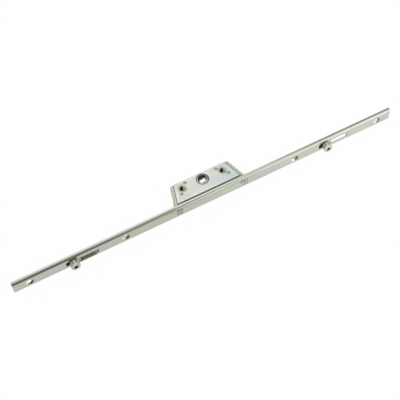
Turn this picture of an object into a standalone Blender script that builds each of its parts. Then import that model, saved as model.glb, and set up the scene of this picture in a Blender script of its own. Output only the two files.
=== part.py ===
"""Window espagnolette: a faceplate rail, a rack gearbox and two mushroom locking cams.

The frame is in metres. The origin is the middle of the rail's front face, opposite the spindle.
X runs along the rail, Y from the front face into the gearbox and Z out of the cover plate.
"""
import math

import bmesh
import bpy
from mathutils import Matrix, Vector

OBJECT_NAME = "window_espagnolette"
CLEARANCE = 0.0003
OVERSHOOT = 0.002
JOIN_OVERLAP = 0.0005
MERGE_DISTANCE = 0.00001

# Faceplate rail: a roll-formed channel, open towards the gearbox
RAIL_LENGTH = 0.400
RAIL_WIDTH = 0.016
RAIL_DEPTH = 0.0032
RAIL_WALL = 0.0012
RAIL_BEND_RADIUS = 0.003
SLOT_CENTRE_FROM_END = 0.0666
SLOT_WIDTH = 0.006
SLOT_CORNER_RADIUS = 0.0012
INNER_SCREW_FROM_SLOT = 0.0433
OUTER_SCREW_FROM_END = 0.0155
RAIL_SCREW_RADIUS = 0.0022
RAIL_COUNTERSINK_RADIUS = 0.0035
RAIL_COUNTERSINK_DEPTH = 0.0010

# Gear: a toothed sector on the follower drives a rack on the drive rod
GEAR_MODULE = 0.0015
PITCH_RADIUS = 0.01125
PRESSURE_ANGLE = math.radians(20.0)
ADDENDUM = 0.0015
RACK_ADDENDUM = 0.0013
TOOTH_THINNING = 0.00015
HANDLE_TURN = math.radians(90.0)
SECTOR_TOOTH_COUNT = 6
FIRST_TOOTH_ANGLE = math.radians(-105.0)
STROKE = PITCH_RADIUS * HANDLE_TURN

# Follower
BACKSET = 0.020
SPINDLE_SQUARE = 0.007
FOLLOWER_RADIUS = 0.006
FOLLOWER_COUNTERBORE_RADIUS = 0.005
FOLLOWER_COUNTERBORE_DEPTH = 0.0026
SECTOR_THICKNESS = 0.0046

# Gearbox body and cover plate
CASE_TOP_Z = 0.0042
CASE_THICKNESS = 0.009
CASE_BASE_THICKNESS = 0.0014
CASE_FRONT_HALF_WIDTH = 0.0376
CASE_BACK_HALF_WIDTH = 0.0308
CASE_BACK_Y = 0.0274
CASE_END_WALL = 0.0029
CASE_BACK_WALL = 0.0010
CASE_CORNER_ROUND = 0.0006
FOOT_DEPTH = 0.0022
FOOT_LENGTH = 0.0069
COVER_THICKNESS = 0.0012
COVER_FRONT_GAP = 0.0006
COVER_SIDE_GAP = 0.00055
COVER_CHAMFER = 0.00015
HUB_HOLE_CLEARANCE = 0.0003

# Tenons of the body, staked in windows of the rail
TENON_INSET = 0.00025
TENON_LENGTH = 0.0055
TENON_NECK_HEIGHT = 0.0046
TENON_HEAD_HEIGHT = 0.0066
TENON_SINK = 0.00015

# Handle screws pass through flared sleeves, in pillars of the body
HANDLE_SCREW_X = 0.0215
PILLAR_RADIUS = 0.0045
SLEEVE_BORE_RADIUS = 0.0025
SLEEVE_WALL = 0.0006
SLEEVE_FLARE_RADIUS = 0.0040
SLEEVE_FLARE_DEPTH = 0.0010

# Rivets that hold the cover, in bosses of the body, two beside each handle screw
FAR_RIVET_INWARD = 0.0050
FAR_RIVET_BACK = 0.0042
NEAR_RIVET_OUTWARD = 0.0036
NEAR_RIVET_FORWARD = 0.0055
BOSS_RADIUS = 0.0026
COVER_RIVET_RADIUS = 0.00125
COVER_RIVET_HEAD_RADIUS = 0.00165
COVER_RIVET_HEAD_DEPTH = 0.0005

# Drive rod, and the rack that is riveted to it
ROD_THICKNESS = 0.0016
ROD_SIDE_GAP = 0.0012
ROD_CHAMFER = 0.0006
ROD_OVERHANG = 0.0076
ROD_SLOT_HEIGHT = 0.0053
RACK_END_GAP = 0.00186
RACK_RIVET_FROM_END = 0.004
RACK_RIVET_RADIUS = 0.0012
RACK_RIVET_HEAD_RADIUS = 0.0019
RACK_RIVET_HEAD_DEPTH = 0.0007
RACK_RIVET_DEPTH = 0.0028

# Slide blocks under the cams, each with a nylon glide at its closed end
BLOCK_SET_LENGTH = 0.0137
BLOCK_HALF_HEIGHT = 0.0027
BLOCK_SINK = 0.0001
BLOCK_CORNER_RADIUS = 0.0008
CAM_FROM_SET_START = 0.0069
GLIDE_LENGTH = 0.0033
GLIDE_SINK = 0.0003
GLIDE_PEG_RADIUS = 0.0007
GLIDE_PEG_LENGTH = 0.0016
BLOCK_RIVET_FROM_END = 0.0014
BLOCK_RIVET_RADIUS = 0.0006
BLOCK_RIVET_HEAD_RADIUS = 0.0009
BLOCK_RIVET_HEAD_DEPTH = 0.0004

# Mushroom cams: the head is off the axis of its shank, so turning it sets the sash pressure
CAM_HEAD_RADIUS = 0.0045
CAM_HEAD_THICKNESS = 0.0022
CAM_HEAD_EDGE = 0.0006
CAM_HEIGHT = 0.0065
CAM_NECK_RADIUS = 0.0031
CAM_FLUTE_HEIGHT = 0.0003
CAM_FLUTE_COUNT = 14
CAM_FLUTE_BAND = 0.0033
CAM_ECCENTRICITY = 0.0006
CAM_SHANK_RADIUS = 0.0017
CAM_SOCKET_ACROSS = 0.004
CAM_SOCKET_DEPTH = 0.003
WASHER_RADIUS = 0.0038
WASHER_THICKNESS = 0.0008
CAM_PEEN_RADIUS = 0.0026
CAM_PEEN_THICKNESS = 0.0005

COARSE_STEPS = 24
FINE_STEPS = 44
CORNER_STEPS = 4
FLANK_STEPS = 6
FLAT_ANGLE = math.radians(0.5)
SMOOTH_ANGLE = math.radians(35.0)

# Dependent sizes
SLOT_CENTRE_X = 0.5 * RAIL_LENGTH - SLOT_CENTRE_FROM_END
INNER_SCREW_X = SLOT_CENTRE_X - INNER_SCREW_FROM_SLOT
OUTER_SCREW_X = 0.5 * RAIL_LENGTH - OUTER_SCREW_FROM_END
CASE_BOTTOM_Z = CASE_TOP_Z - CASE_THICKNESS
CASE_FLOOR_Z = CASE_BOTTOM_Z + CASE_BASE_THICKNESS
CASE_FRONT_Y = RAIL_DEPTH + CLEARANCE
CASE_INNER_BACK_Y = CASE_BACK_Y - CASE_BACK_WALL
COVER_BOTTOM_Z = CASE_TOP_Z - COVER_THICKNESS
COVER_SEAT_Z = COVER_BOTTOM_Z - CLEARANCE
FOOT_BACK_Y = CASE_FRONT_Y + FOOT_DEPTH
FOOT_INNER_X = CASE_FRONT_HALF_WIDTH - FOOT_LENGTH
COVER_FRONT_Y = FOOT_BACK_Y + COVER_FRONT_GAP
TENON_X = CASE_FRONT_HALF_WIDTH - TENON_INSET - 0.5 * TENON_LENGTH
ROD_FRONT_Y = RAIL_WALL + CLEARANCE
ROD_BACK_Y = ROD_FRONT_Y + ROD_THICKNESS
ROD_HALF_WIDTH = 0.5 * RAIL_WIDTH - RAIL_WALL - ROD_SIDE_GAP
RACK_FRONT_Y = ROD_BACK_Y + CLEARANCE
PITCH_LINE_Y = BACKSET - PITCH_RADIUS
RACK_LEFT_X = RACK_END_GAP - FOOT_INNER_X
RACK_RIGHT_X = -RACK_LEFT_X - STROKE
RACK_RIVET_LEFT_X = RACK_LEFT_X + RACK_RIVET_FROM_END
RACK_RIVET_RIGHT_X = RACK_RIGHT_X - RACK_RIVET_FROM_END
RACK_TIP_Y = PITCH_LINE_Y + RACK_ADDENDUM
RACK_ROOT_Y = PITCH_LINE_Y - ADDENDUM - CLEARANCE
SECTOR_TIP_RADIUS = PITCH_RADIUS + ADDENDUM
SECTOR_ROOT_RADIUS = PITCH_RADIUS - RACK_ADDENDUM - 1.5 * CLEARANCE
SECTOR_BOTTOM_Z = CASE_FLOOR_Z + CLEARANCE
SECTOR_TOP_Z = SECTOR_BOTTOM_Z + SECTOR_THICKNESS
HALF_TOOTH = 0.25 * math.pi * GEAR_MODULE - 0.5 * TOOTH_THINNING
TOOTH_STEP = GEAR_MODULE * math.pi / PITCH_RADIUS
SLOT_LENGTH = BLOCK_SET_LENGTH + STROKE + 2 * CLEARANCE
SET_START_OFFSET = CLEARANCE - 0.5 * SLOT_LENGTH
WINDOW_LENGTH = TENON_LENGTH + 2 * CLEARANCE
WINDOW_HEIGHT = TENON_HEAD_HEIGHT + 2 * CLEARANCE
SHANK_HOLE_RADIUS = CAM_SHANK_RADIUS + CLEARANCE
SLEEVE_RADIUS = SLEEVE_BORE_RADIUS + SLEEVE_WALL
WASHER_FRONT_Y = ROD_BACK_Y + CLEARANCE
CAM_PEEN_FRONT_Y = WASHER_FRONT_Y + WASHER_THICKNESS + CLEARANCE

# Each outline lies in two axes and is extruded along the third
PLACEMENT = {
    "X": Matrix(((0, 0, 1, 0), (1, 0, 0, 0), (0, 1, 0, 0), (0, 0, 0, 1))),
    "Y": Matrix.Rotation(math.radians(90.0), 4, "X"),
    "Z": Matrix.Identity(4),
}

# A turned shape has its heights along Z and is then laid along its axis
TURNED_AXIS = {
    "Y": Matrix.Rotation(math.radians(-90.0), 4, "X"),
    "Z": Matrix.Identity(4),
}


def clear_scene():
    """Remove every object of the opened file."""
    for item in list(bpy.data.objects):
        bpy.data.objects.remove(item, do_unlink=True)


def make_collection(name):
    """Add a collection to the scene."""
    collection = bpy.data.collections.new(name)
    bpy.context.scene.collection.children.link(collection)
    return collection


clear_scene()
PARTS = make_collection(OBJECT_NAME)
CUTTERS = make_collection(OBJECT_NAME + "_tools")


def make_material(name, color, metallic, roughness):
    """A Principled BSDF with plain values."""
    material = bpy.data.materials.new(name)
    material.use_nodes = True
    shader = material.node_tree.nodes["Principled BSDF"]
    shader.inputs["Base Color"].default_value = (*color, 1.0)
    shader.inputs["Metallic"].default_value = metallic
    shader.inputs["Roughness"].default_value = roughness
    return material


RAIL_STEEL = make_material("rail_zinc", (0.62, 0.63, 0.57), 1.0, 0.34)
CASE_STEEL = make_material("case_zinc", (0.60, 0.57, 0.48), 1.0, 0.42)
COVER_STEEL = make_material("cover_zinc", (0.62, 0.67, 0.68), 1.0, 0.30)
ROD_STEEL = make_material("rod_zinc", (0.58, 0.58, 0.52), 1.0, 0.38)
GEAR_STEEL = make_material("gear_steel", (0.35, 0.34, 0.32), 1.0, 0.40)
CAM_STEEL = make_material("cam_steel", (0.66, 0.62, 0.53), 1.0, 0.32)
RIVET_STEEL = make_material("rivet_steel", (0.42, 0.42, 0.40), 1.0, 0.45)
GLIDE_NYLON = make_material("glide_nylon", (0.02, 0.02, 0.018), 0.0, 0.50)


def set_as_part(item, material):
    """Put a finished object with the parts, in its material."""
    item.data.materials.clear()
    item.data.materials.append(material)
    PARTS.objects.link(item)
    return item


def set_as_tool(item):
    """Hide an object that only cuts or joins."""
    CUTTERS.objects.link(item)
    item.hide_render = True
    item.display_type = "WIRE"
    return item


def shade_round(work):
    """Weld a mesh, turn its faces outwards and shade only its round sides smooth."""
    bmesh.ops.remove_doubles(work, verts=work.verts, dist=MERGE_DISTANCE)
    bmesh.ops.recalc_face_normals(work, faces=work.faces)
    for edge in work.edges:
        edge.smooth = edge.calc_face_angle(math.pi) < SMOOTH_ANGLE
    for face in work.faces:
        face.smooth = any(FLAT_ANGLE < edge.calc_face_angle(math.pi) < SMOOTH_ANGLE for edge in face.edges)


def solid_from(source, name):
    """Turn a curve or a profile with its Screw modifier into a closed mesh."""
    bpy.context.scene.collection.objects.link(source)
    bpy.context.view_layer.update()
    evaluated = source.evaluated_get(bpy.context.evaluated_depsgraph_get())
    mesh = bpy.data.meshes.new_from_object(evaluated)
    mesh.name = name
    work = bmesh.new()
    work.from_mesh(mesh)
    shade_round(work)
    work.to_mesh(mesh)
    work.free()
    solid = bpy.data.objects.new(name, mesh)
    solid.matrix_world = source.matrix_world
    bpy.data.objects.remove(source)
    return solid


def solid_of(work, name):
    """Turn a finished primitive into an object."""
    shade_round(work)
    mesh = bpy.data.meshes.new(name)
    work.to_mesh(mesh)
    work.free()
    return bpy.data.objects.new(name, mesh)


def prism(name, outline, axis, low, high):
    """Extrude a flat outline between two heights, as a filled 2D curve made mesh."""
    curve = bpy.data.curves.new(name, "CURVE")
    curve.dimensions = "2D"
    curve.fill_mode = "BOTH"
    curve.extrude = 0.5 * (high - low)
    spline = curve.splines.new("POLY")
    spline.points.add(len(outline) - 1)
    for point, (u, v) in zip(spline.points, outline):
        point.co = (u, v, 0.0, 1.0)
    spline.use_cyclic_u = True
    source = bpy.data.objects.new(name + "_curve", curve)
    along = Vector((axis == "X", axis == "Y", axis == "Z")) * 0.5 * (low + high)
    source.matrix_world = Matrix.Translation(along) @ PLACEMENT[axis]
    return solid_from(source, name)


def turned(name, profile, centre, axis, steps):
    """Spin a closed profile of (radius, height) round an axis, heights along that axis."""
    mesh = bpy.data.meshes.new(name)
    work = bmesh.new()
    corners = [work.verts.new((radius, 0.0, height)) for radius, height in profile]
    for first, second in zip(corners, corners[1:]):
        work.edges.new((first, second))
    if profile[0][0] > 0.0:
        work.edges.new((corners[-1], corners[0]))
    work.to_mesh(mesh)
    work.free()
    source = bpy.data.objects.new(name + "_profile", mesh)
    spin = source.modifiers.new("Turn", "SCREW")
    spin.axis = "Z"
    spin.steps = steps
    spin.render_steps = steps
    spin.use_merge_vertices = True
    spin.merge_threshold = MERGE_DISTANCE
    source.matrix_world = Matrix.Translation(Vector(centre)) @ TURNED_AXIS[axis]
    return solid_from(source, name)


def cylinder(name, radius, centre, axis, low, high, steps):
    """A plain round bar or hole between two heights along an axis."""
    work = bmesh.new()
    bmesh.ops.create_cone(work, cap_ends=True, segments=steps,
                          radius1=radius, radius2=radius, depth=high - low)
    solid = solid_of(work, name)
    middle = Matrix.Translation((0.0, 0.0, 0.5 * (low + high)))
    solid.matrix_world = Matrix.Translation(Vector(centre)) @ TURNED_AXIS[axis] @ middle
    return solid


def block(name, low, high):
    """A plain box between its lowest and its highest corner."""
    work = bmesh.new()
    bmesh.ops.create_cube(work, size=1.0)
    size = Vector(high) - Vector(low)
    bmesh.ops.transform(work, matrix=Matrix.Diagonal((*size, 1.0)), verts=work.verts)
    solid = solid_of(work, name)
    solid.matrix_world = Matrix.Translation(0.5 * (Vector(low) + Vector(high)))
    return solid


def cone_hole(name, bore, rim, depth, surface, centre, axis, far, steps):
    """A through hole with a countersink under the surface; far is the height of its other end."""
    out = math.copysign(1.0, surface - far)
    slope = (rim - bore) / depth
    profile = [
        (0.0, surface + out * OVERSHOOT),
        (rim + slope * OVERSHOOT, surface + out * OVERSHOOT),
        (bore, surface - out * depth),
        (bore, far - out * OVERSHOOT),
        (0.0, far - out * OVERSHOOT),
    ]
    if out < 0.0:
        profile.reverse()
    return turned(name, profile, centre, axis, steps)


def combine(target, tool, operation):
    """Cut a tool from a solid, or join it on."""
    set_as_tool(tool)
    step = target.modifiers.new(tool.name, "BOOLEAN")
    step.operation = operation
    step.solver = "EXACT"
    step.object = tool


def cut(target, tool):
    """Cut a tool from a solid."""
    combine(target, tool, "DIFFERENCE")


def join(target, tool):
    """Join a tool on to a solid."""
    combine(target, tool, "UNION")


def soften(solid, width, angle=30.0):
    """Bevel the sharp edges of a solid."""
    step = solid.modifiers.new("Edges", "BEVEL")
    step.width = width
    step.segments = 2
    step.limit_method = "ANGLE"
    step.angle_limit = math.radians(angle)
    step.use_clamp_overlap = True


def arc(centre_u, centre_v, radius, start, end, steps):
    """Points of an arc, both ends included; the angles are in degrees."""
    points = []
    for index in range(steps + 1):
        angle = math.radians(start + (end - start) * index / steps)
        points.append((centre_u + radius * math.cos(angle), centre_v + radius * math.sin(angle)))
    return points


def rounded_box(low_u, high_u, low_v, high_v, radius):
    """Outline of a rectangle with round corners."""
    points = arc(high_u - radius, high_v - radius, radius, 0, 90, CORNER_STEPS)
    points += arc(low_u + radius, high_v - radius, radius, 90, 180, CORNER_STEPS)
    points += arc(low_u + radius, low_v + radius, radius, 180, 270, CORNER_STEPS)
    points += arc(high_u - radius, low_v + radius, radius, 270, 360, CORNER_STEPS)
    return points


def centred_block(name, centre_x, length, height, front, back):
    """A box that is centred on the rail's mid-plane."""
    low = (centre_x - 0.5 * length, front, -0.5 * height)
    return block(name, low, (centre_x + 0.5 * length, back, 0.5 * height))


def regular_outline(centre_u, centre_v, across, count):
    """Outline of a regular polygon from its size across flats."""
    radius = 0.5 * across / math.cos(math.pi / count)
    start = 180.0 / count
    return arc(centre_u, centre_v, radius, start, start + 360.0 * (count - 1) / count, count - 1)


def set_origin(item, point):
    """Move an object's origin to a joint's axis and leave its shape in place."""
    offset = item.matrix_world.inverted() @ Vector(point)
    item.data.transform(Matrix.Translation(-offset))
    item.matrix_world = Matrix.Translation(Vector(point) - item.matrix_world.translation) @ item.matrix_world


def slot_start(side):
    """Rest position of the left end of a slide block set."""
    return side * SLOT_CENTRE_X + SET_START_OFFSET


def cam_axis_x(side):
    """Rest position of a cam's head, on one side of the gearbox."""
    return slot_start(side) + CAM_FROM_SET_START


def shank_axis_x(side):
    """Rest position of the shank that a cam turns on."""
    return cam_axis_x(side) + CAM_ECCENTRICITY


def make_rail():
    """The channel, with its cam slots, screw holes and tenon windows."""
    half = 0.5 * RAIL_WIDTH
    inner = RAIL_BEND_RADIUS - RAIL_WALL
    flat = half - RAIL_BEND_RADIUS
    outline = [(RAIL_DEPTH, half)]
    outline += arc(RAIL_BEND_RADIUS, flat, RAIL_BEND_RADIUS, 90, 180, 2 * CORNER_STEPS)
    outline += arc(RAIL_BEND_RADIUS, -flat, RAIL_BEND_RADIUS, 180, 270, 2 * CORNER_STEPS)
    outline += [(RAIL_DEPTH, -half), (RAIL_DEPTH, RAIL_WALL - half)]
    outline += arc(RAIL_BEND_RADIUS, -flat, inner, 270, 180, 2 * CORNER_STEPS)
    outline += arc(RAIL_BEND_RADIUS, flat, inner, 180, 90, 2 * CORNER_STEPS)
    outline += [(RAIL_DEPTH, half - RAIL_WALL)]
    rail = prism("faceplate_rail", outline, "X", -0.5 * RAIL_LENGTH, 0.5 * RAIL_LENGTH)
    for side in (-1, 1):
        slot_low = side * SLOT_CENTRE_X - 0.5 * SLOT_LENGTH
        slot_high = slot_low + SLOT_LENGTH
        slot = rounded_box(slot_low, slot_high, -0.5 * SLOT_WIDTH, 0.5 * SLOT_WIDTH, SLOT_CORNER_RADIUS)
        cut(rail, prism("cam_slot", slot, "Y", -OVERSHOOT, RAIL_WALL + OVERSHOOT))
        cut(rail, centred_block("tenon_window", side * TENON_X, WINDOW_LENGTH, WINDOW_HEIGHT,
                                -OVERSHOOT, RAIL_WALL + OVERSHOOT))
        for screw_x in (INNER_SCREW_X, OUTER_SCREW_X):
            cut(rail, cone_hole("rail_screw_hole", RAIL_SCREW_RADIUS, RAIL_COUNTERSINK_RADIUS,
                                RAIL_COUNTERSINK_DEPTH, 0.0, (side * screw_x, 0.0, 0.0), "Y", RAIL_WALL,
                                COARSE_STEPS))
    return set_as_part(rail, RAIL_STEEL)


def make_rod():
    """The flat rod, with long holes that clear the screws and tenons over the whole stroke."""
    outline = [
        (ROD_BACK_Y, ROD_HALF_WIDTH),
        (ROD_FRONT_Y + ROD_CHAMFER, ROD_HALF_WIDTH),
        (ROD_FRONT_Y, ROD_HALF_WIDTH - ROD_CHAMFER),
        (ROD_FRONT_Y, ROD_CHAMFER - ROD_HALF_WIDTH),
        (ROD_FRONT_Y + ROD_CHAMFER, -ROD_HALF_WIDTH),
        (ROD_BACK_Y, -ROD_HALF_WIDTH),
    ]
    rod = prism("drive_rod", outline, "X", cam_axis_x(-1) - ROD_OVERHANG, cam_axis_x(1) + ROD_OVERHANG)
    half = 0.5 * ROD_SLOT_HEIGHT
    for side in (-1, 1):
        cleared = ((side * INNER_SCREW_X, RAIL_SCREW_RADIUS), (side * TENON_X, 0.5 * TENON_LENGTH))
        for centre, reach in cleared:
            long_hole = rounded_box(centre - STROKE - reach - CLEARANCE, centre + reach + CLEARANCE,
                                    -half, half, 0.5 * SLOT_CORNER_RADIUS)
            cut(rod, prism("rod_long_hole", long_hole, "Y", ROD_FRONT_Y - OVERSHOOT, ROD_BACK_Y + OVERSHOOT))
        holes = (
            (shank_axis_x(side), SHANK_HOLE_RADIUS),
            (block_rivet_x(side), BLOCK_RIVET_RADIUS + CLEARANCE),
            (glide_centre_x(side), GLIDE_PEG_RADIUS + CLEARANCE),
        )
        for hole_x, radius in holes:
            cut(rod, cylinder("rod_hole", radius, (hole_x, 0.0, 0.0), "Y",
                              ROD_FRONT_Y - OVERSHOOT, ROD_BACK_Y + OVERSHOOT, COARSE_STEPS))
    for rivet_x in (RACK_RIVET_LEFT_X, RACK_RIVET_RIGHT_X):
        cut(rod, cone_hole("rack_rivet_hole", RACK_RIVET_RADIUS + CLEARANCE,
                           RACK_RIVET_HEAD_RADIUS + CLEARANCE, RACK_RIVET_HEAD_DEPTH, ROD_FRONT_Y,
                           (rivet_x, 0.0, 0.0), "Y", ROD_BACK_Y, COARSE_STEPS))
    return set_as_part(rod, ROD_STEEL)


def tooth_half_angle(radius):
    """Half the angle of an involute sector tooth at a radius."""
    base = PITCH_RADIUS * math.cos(PRESSURE_ANGLE)
    pitch_involute = math.tan(PRESSURE_ANGLE) - PRESSURE_ANGLE
    lean = math.acos(min(1.0, base / radius))
    return HALF_TOOTH / PITCH_RADIUS + pitch_involute - (math.tan(lean) - lean)


def from_hub(radius, angle):
    """A point round the spindle; the angle is measured from the direction of the rack."""
    return (radius * math.sin(angle), BACKSET - radius * math.cos(angle))


def make_follower():
    """The hub with its square hole and the toothed sector."""
    base = PITCH_RADIUS * math.cos(PRESSURE_ANGLE)
    radii = [SECTOR_ROOT_RADIUS] + [base + (SECTOR_TIP_RADIUS - base) * index / FLANK_STEPS
                                    for index in range(FLANK_STEPS + 1)]
    last = FIRST_TOOTH_ANGLE + (SECTOR_TOOTH_COUNT - 1) * TOOTH_STEP
    outline = [from_hub(0.0, 0.0), from_hub(SECTOR_ROOT_RADIUS, FIRST_TOOTH_ANGLE - 0.5 * TOOTH_STEP)]
    for index in range(SECTOR_TOOTH_COUNT):
        middle = FIRST_TOOTH_ANGLE + index * TOOTH_STEP
        outline += [from_hub(radius, middle - tooth_half_angle(radius)) for radius in radii]
        outline += [from_hub(radius, middle + tooth_half_angle(radius)) for radius in reversed(radii)]
    outline.append(from_hub(SECTOR_ROOT_RADIUS, last + 0.5 * TOOTH_STEP))
    follower = prism("follower", outline, "Z", SECTOR_BOTTOM_Z, SECTOR_TOP_Z)
    centre = (0.0, BACKSET, 0.0)
    bottom = CASE_BOTTOM_Z + 0.5 * CLEARANCE
    top = CASE_TOP_Z - 0.5 * CLEARANCE
    join(follower, cylinder("follower_hub", FOLLOWER_RADIUS, centre, "Z", bottom, top, FINE_STEPS))
    square = regular_outline(0.0, BACKSET, SPINDLE_SQUARE, 4)
    cut(follower, prism("spindle_hole", square, "Z", bottom - OVERSHOOT, top + OVERSHOOT))
    cut(follower, cylinder("follower_counterbore", FOLLOWER_COUNTERBORE_RADIUS, centre, "Z",
                           bottom - OVERSHOOT, bottom + FOLLOWER_COUNTERBORE_DEPTH, FINE_STEPS))
    set_origin(follower, centre)
    return set_as_part(follower, GEAR_STEEL)


def make_rack():
    """The rack, whose spaces stand at the sector's teeth at rest."""
    slope = math.tan(PRESSURE_ANGLE)
    half_space = 0.5 * math.pi * GEAR_MODULE - HALF_TOOTH
    outline = [(RACK_LEFT_X, RACK_FRONT_Y), (RACK_LEFT_X, RACK_TIP_Y)]
    for index in range(SECTOR_TOOTH_COUNT):
        middle = PITCH_RADIUS * (FIRST_TOOTH_ANGLE + index * TOOTH_STEP)
        wide = half_space + slope * (RACK_TIP_Y - PITCH_LINE_Y)
        narrow = half_space - slope * (PITCH_LINE_Y - RACK_ROOT_Y)
        outline += [(middle - wide, RACK_TIP_Y), (middle - narrow, RACK_ROOT_Y)]
        outline += [(middle + narrow, RACK_ROOT_Y), (middle + wide, RACK_TIP_Y)]
    outline += [(RACK_RIGHT_X, RACK_TIP_Y), (RACK_RIGHT_X, RACK_FRONT_Y)]
    rack = prism("rack_slider", outline, "Z", SECTOR_BOTTOM_Z, SECTOR_TOP_Z)
    for rivet_x in (RACK_RIVET_LEFT_X, RACK_RIVET_RIGHT_X):
        cut(rack, cylinder("rack_blind_hole", RACK_RIVET_RADIUS + CLEARANCE, (rivet_x, 0.0, 0.0), "Y",
                           RACK_FRONT_Y - OVERSHOOT, RACK_FRONT_Y + RACK_RIVET_DEPTH + CLEARANCE,
                           COARSE_STEPS))
    return set_as_part(rack, GEAR_STEEL)


def make_rack_rivet(name, rivet_x):
    """A countersunk rivet through the rod into the rack."""
    front = ROD_FRONT_Y + 0.5 * CLEARANCE
    profile = [
        (0.0, RACK_FRONT_Y + RACK_RIVET_DEPTH),
        (RACK_RIVET_RADIUS, RACK_FRONT_Y + RACK_RIVET_DEPTH),
        (RACK_RIVET_RADIUS, front + RACK_RIVET_HEAD_DEPTH),
        (RACK_RIVET_HEAD_RADIUS, front),
        (0.0, front),
    ]
    return set_as_part(turned(name, profile, (rivet_x, 0.0, 0.0), "Y", COARSE_STEPS), RIVET_STEEL)


def block_end_x(side):
    """Rest position of the right end of a slide block."""
    return slot_start(side) + BLOCK_SET_LENGTH


def block_rivet_x(side):
    """Rest position of the small rivet in a slide block."""
    return block_end_x(side) - BLOCK_RIVET_FROM_END


def glide_centre_x(side):
    """Rest position of the middle of a nylon glide."""
    return slot_start(side) + 0.5 * GLIDE_LENGTH


def make_block(side, suffix):
    """The steel slide block under a cam."""
    start = slot_start(side) + GLIDE_LENGTH + CLEARANCE
    outline = rounded_box(start, block_end_x(side), -BLOCK_HALF_HEIGHT, BLOCK_HALF_HEIGHT,
                          BLOCK_CORNER_RADIUS)
    slider = prism("cam_block_" + suffix, outline, "Y", BLOCK_SINK, RAIL_WALL)
    cut(slider, cylinder("block_shank_hole", SHANK_HOLE_RADIUS, (shank_axis_x(side), 0.0, 0.0), "Y",
                         -OVERSHOOT, RAIL_WALL + OVERSHOOT, COARSE_STEPS))
    cut(slider, cone_hole("block_rivet_hole", BLOCK_RIVET_RADIUS + CLEARANCE,
                          BLOCK_RIVET_HEAD_RADIUS + CLEARANCE, BLOCK_RIVET_HEAD_DEPTH, BLOCK_SINK,
                          (block_rivet_x(side), 0.0, 0.0), "Y", RAIL_WALL, COARSE_STEPS))
    return set_as_part(slider, CAM_STEEL)


def make_glide(side, suffix):
    """The nylon glide, held on the rod by its peg."""
    start = slot_start(side)
    outline = rounded_box(start, start + GLIDE_LENGTH, -BLOCK_HALF_HEIGHT, BLOCK_HALF_HEIGHT,
                          BLOCK_CORNER_RADIUS)
    glide = prism("slot_glide_" + suffix, outline, "Y", BLOCK_SINK + GLIDE_SINK, RAIL_WALL)
    join(glide, cylinder("glide_peg", GLIDE_PEG_RADIUS, (glide_centre_x(side), 0.0, 0.0), "Y",
                         RAIL_WALL - JOIN_OVERLAP, ROD_FRONT_Y + GLIDE_PEG_LENGTH - CLEARANCE, COARSE_STEPS))
    return set_as_part(glide, GLIDE_NYLON)


def make_block_rivet(side, suffix):
    """The small countersunk rivet that holds a slide block on the rod."""
    front = BLOCK_SINK + 0.5 * CLEARANCE
    profile = [
        (0.0, ROD_BACK_Y),
        (BLOCK_RIVET_RADIUS, ROD_BACK_Y),
        (BLOCK_RIVET_RADIUS, front + BLOCK_RIVET_HEAD_DEPTH),
        (BLOCK_RIVET_HEAD_RADIUS, front),
        (0.0, front),
    ]
    rivet = turned("block_rivet_" + suffix, profile, (block_rivet_x(side), 0.0, 0.0), "Y", COARSE_STEPS)
    return set_as_part(rivet, RIVET_STEEL)


def make_cam(side, suffix):
    """A mushroom cam: head, fluted neck and the shank that is peened behind its washer."""
    head_x = cam_axis_x(side)
    shank_x = shank_axis_x(side)
    neck_end = -CLEARANCE
    head_back = CAM_HEAD_THICKNESS - CAM_HEIGHT
    shank = [
        (0.0, CAM_PEEN_FRONT_Y + CAM_PEEN_THICKNESS),
        (CAM_PEEN_RADIUS, CAM_PEEN_FRONT_Y + CAM_PEEN_THICKNESS),
        (CAM_PEEN_RADIUS, CAM_PEEN_FRONT_Y),
        (CAM_SHANK_RADIUS, CAM_PEEN_FRONT_Y),
        (CAM_SHANK_RADIUS, neck_end - JOIN_OVERLAP),
        (0.0, neck_end - JOIN_OVERLAP),
    ]
    cam = turned("cam_" + suffix, shank, (shank_x, 0.0, 0.0), "Y", COARSE_STEPS)
    profile = [
        (0.0, neck_end),
        (CAM_NECK_RADIUS, neck_end),
        (CAM_NECK_RADIUS, head_back),
        (CAM_HEAD_RADIUS, head_back),
        (CAM_HEAD_RADIUS, CAM_HEAD_EDGE - CAM_HEIGHT),
        (CAM_HEAD_RADIUS - CAM_HEAD_EDGE, -CAM_HEIGHT),
        (0.0, -CAM_HEIGHT),
    ]
    join(cam, turned("cam_head", profile, (head_x, 0.0, 0.0), "Y", FINE_STEPS))
    flutes = []
    for index in range(6 * CAM_FLUTE_COUNT):
        angle = math.radians(60.0) * index / CAM_FLUTE_COUNT
        radius = CAM_NECK_RADIUS + CAM_FLUTE_HEIGHT * math.cos(CAM_FLUTE_COUNT * angle)
        flutes.append((head_x + radius * math.cos(angle), radius * math.sin(angle)))
    join(cam, prism("cam_flutes", flutes, "Y", head_back - JOIN_OVERLAP, head_back + CAM_FLUTE_BAND))
    socket = regular_outline(head_x, 0.0, CAM_SOCKET_ACROSS, 6)
    cut(cam, prism("cam_socket", socket, "Y", -CAM_HEIGHT - OVERSHOOT, CAM_SOCKET_DEPTH - CAM_HEIGHT))
    return set_as_part(cam, CAM_STEEL)


def make_washer(side, suffix):
    """The washer between the rod and the peened end of a cam's shank."""
    back = WASHER_FRONT_Y + WASHER_THICKNESS
    profile = [
        (WASHER_RADIUS, back),
        (WASHER_RADIUS, WASHER_FRONT_Y),
        (SHANK_HOLE_RADIUS, WASHER_FRONT_Y),
        (SHANK_HOLE_RADIUS, back),
    ]
    washer = turned("cam_washer_" + suffix, profile, (shank_axis_x(side), 0.0, 0.0), "Y", COARSE_STEPS)
    return set_as_part(washer, RIVET_STEEL)


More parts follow.
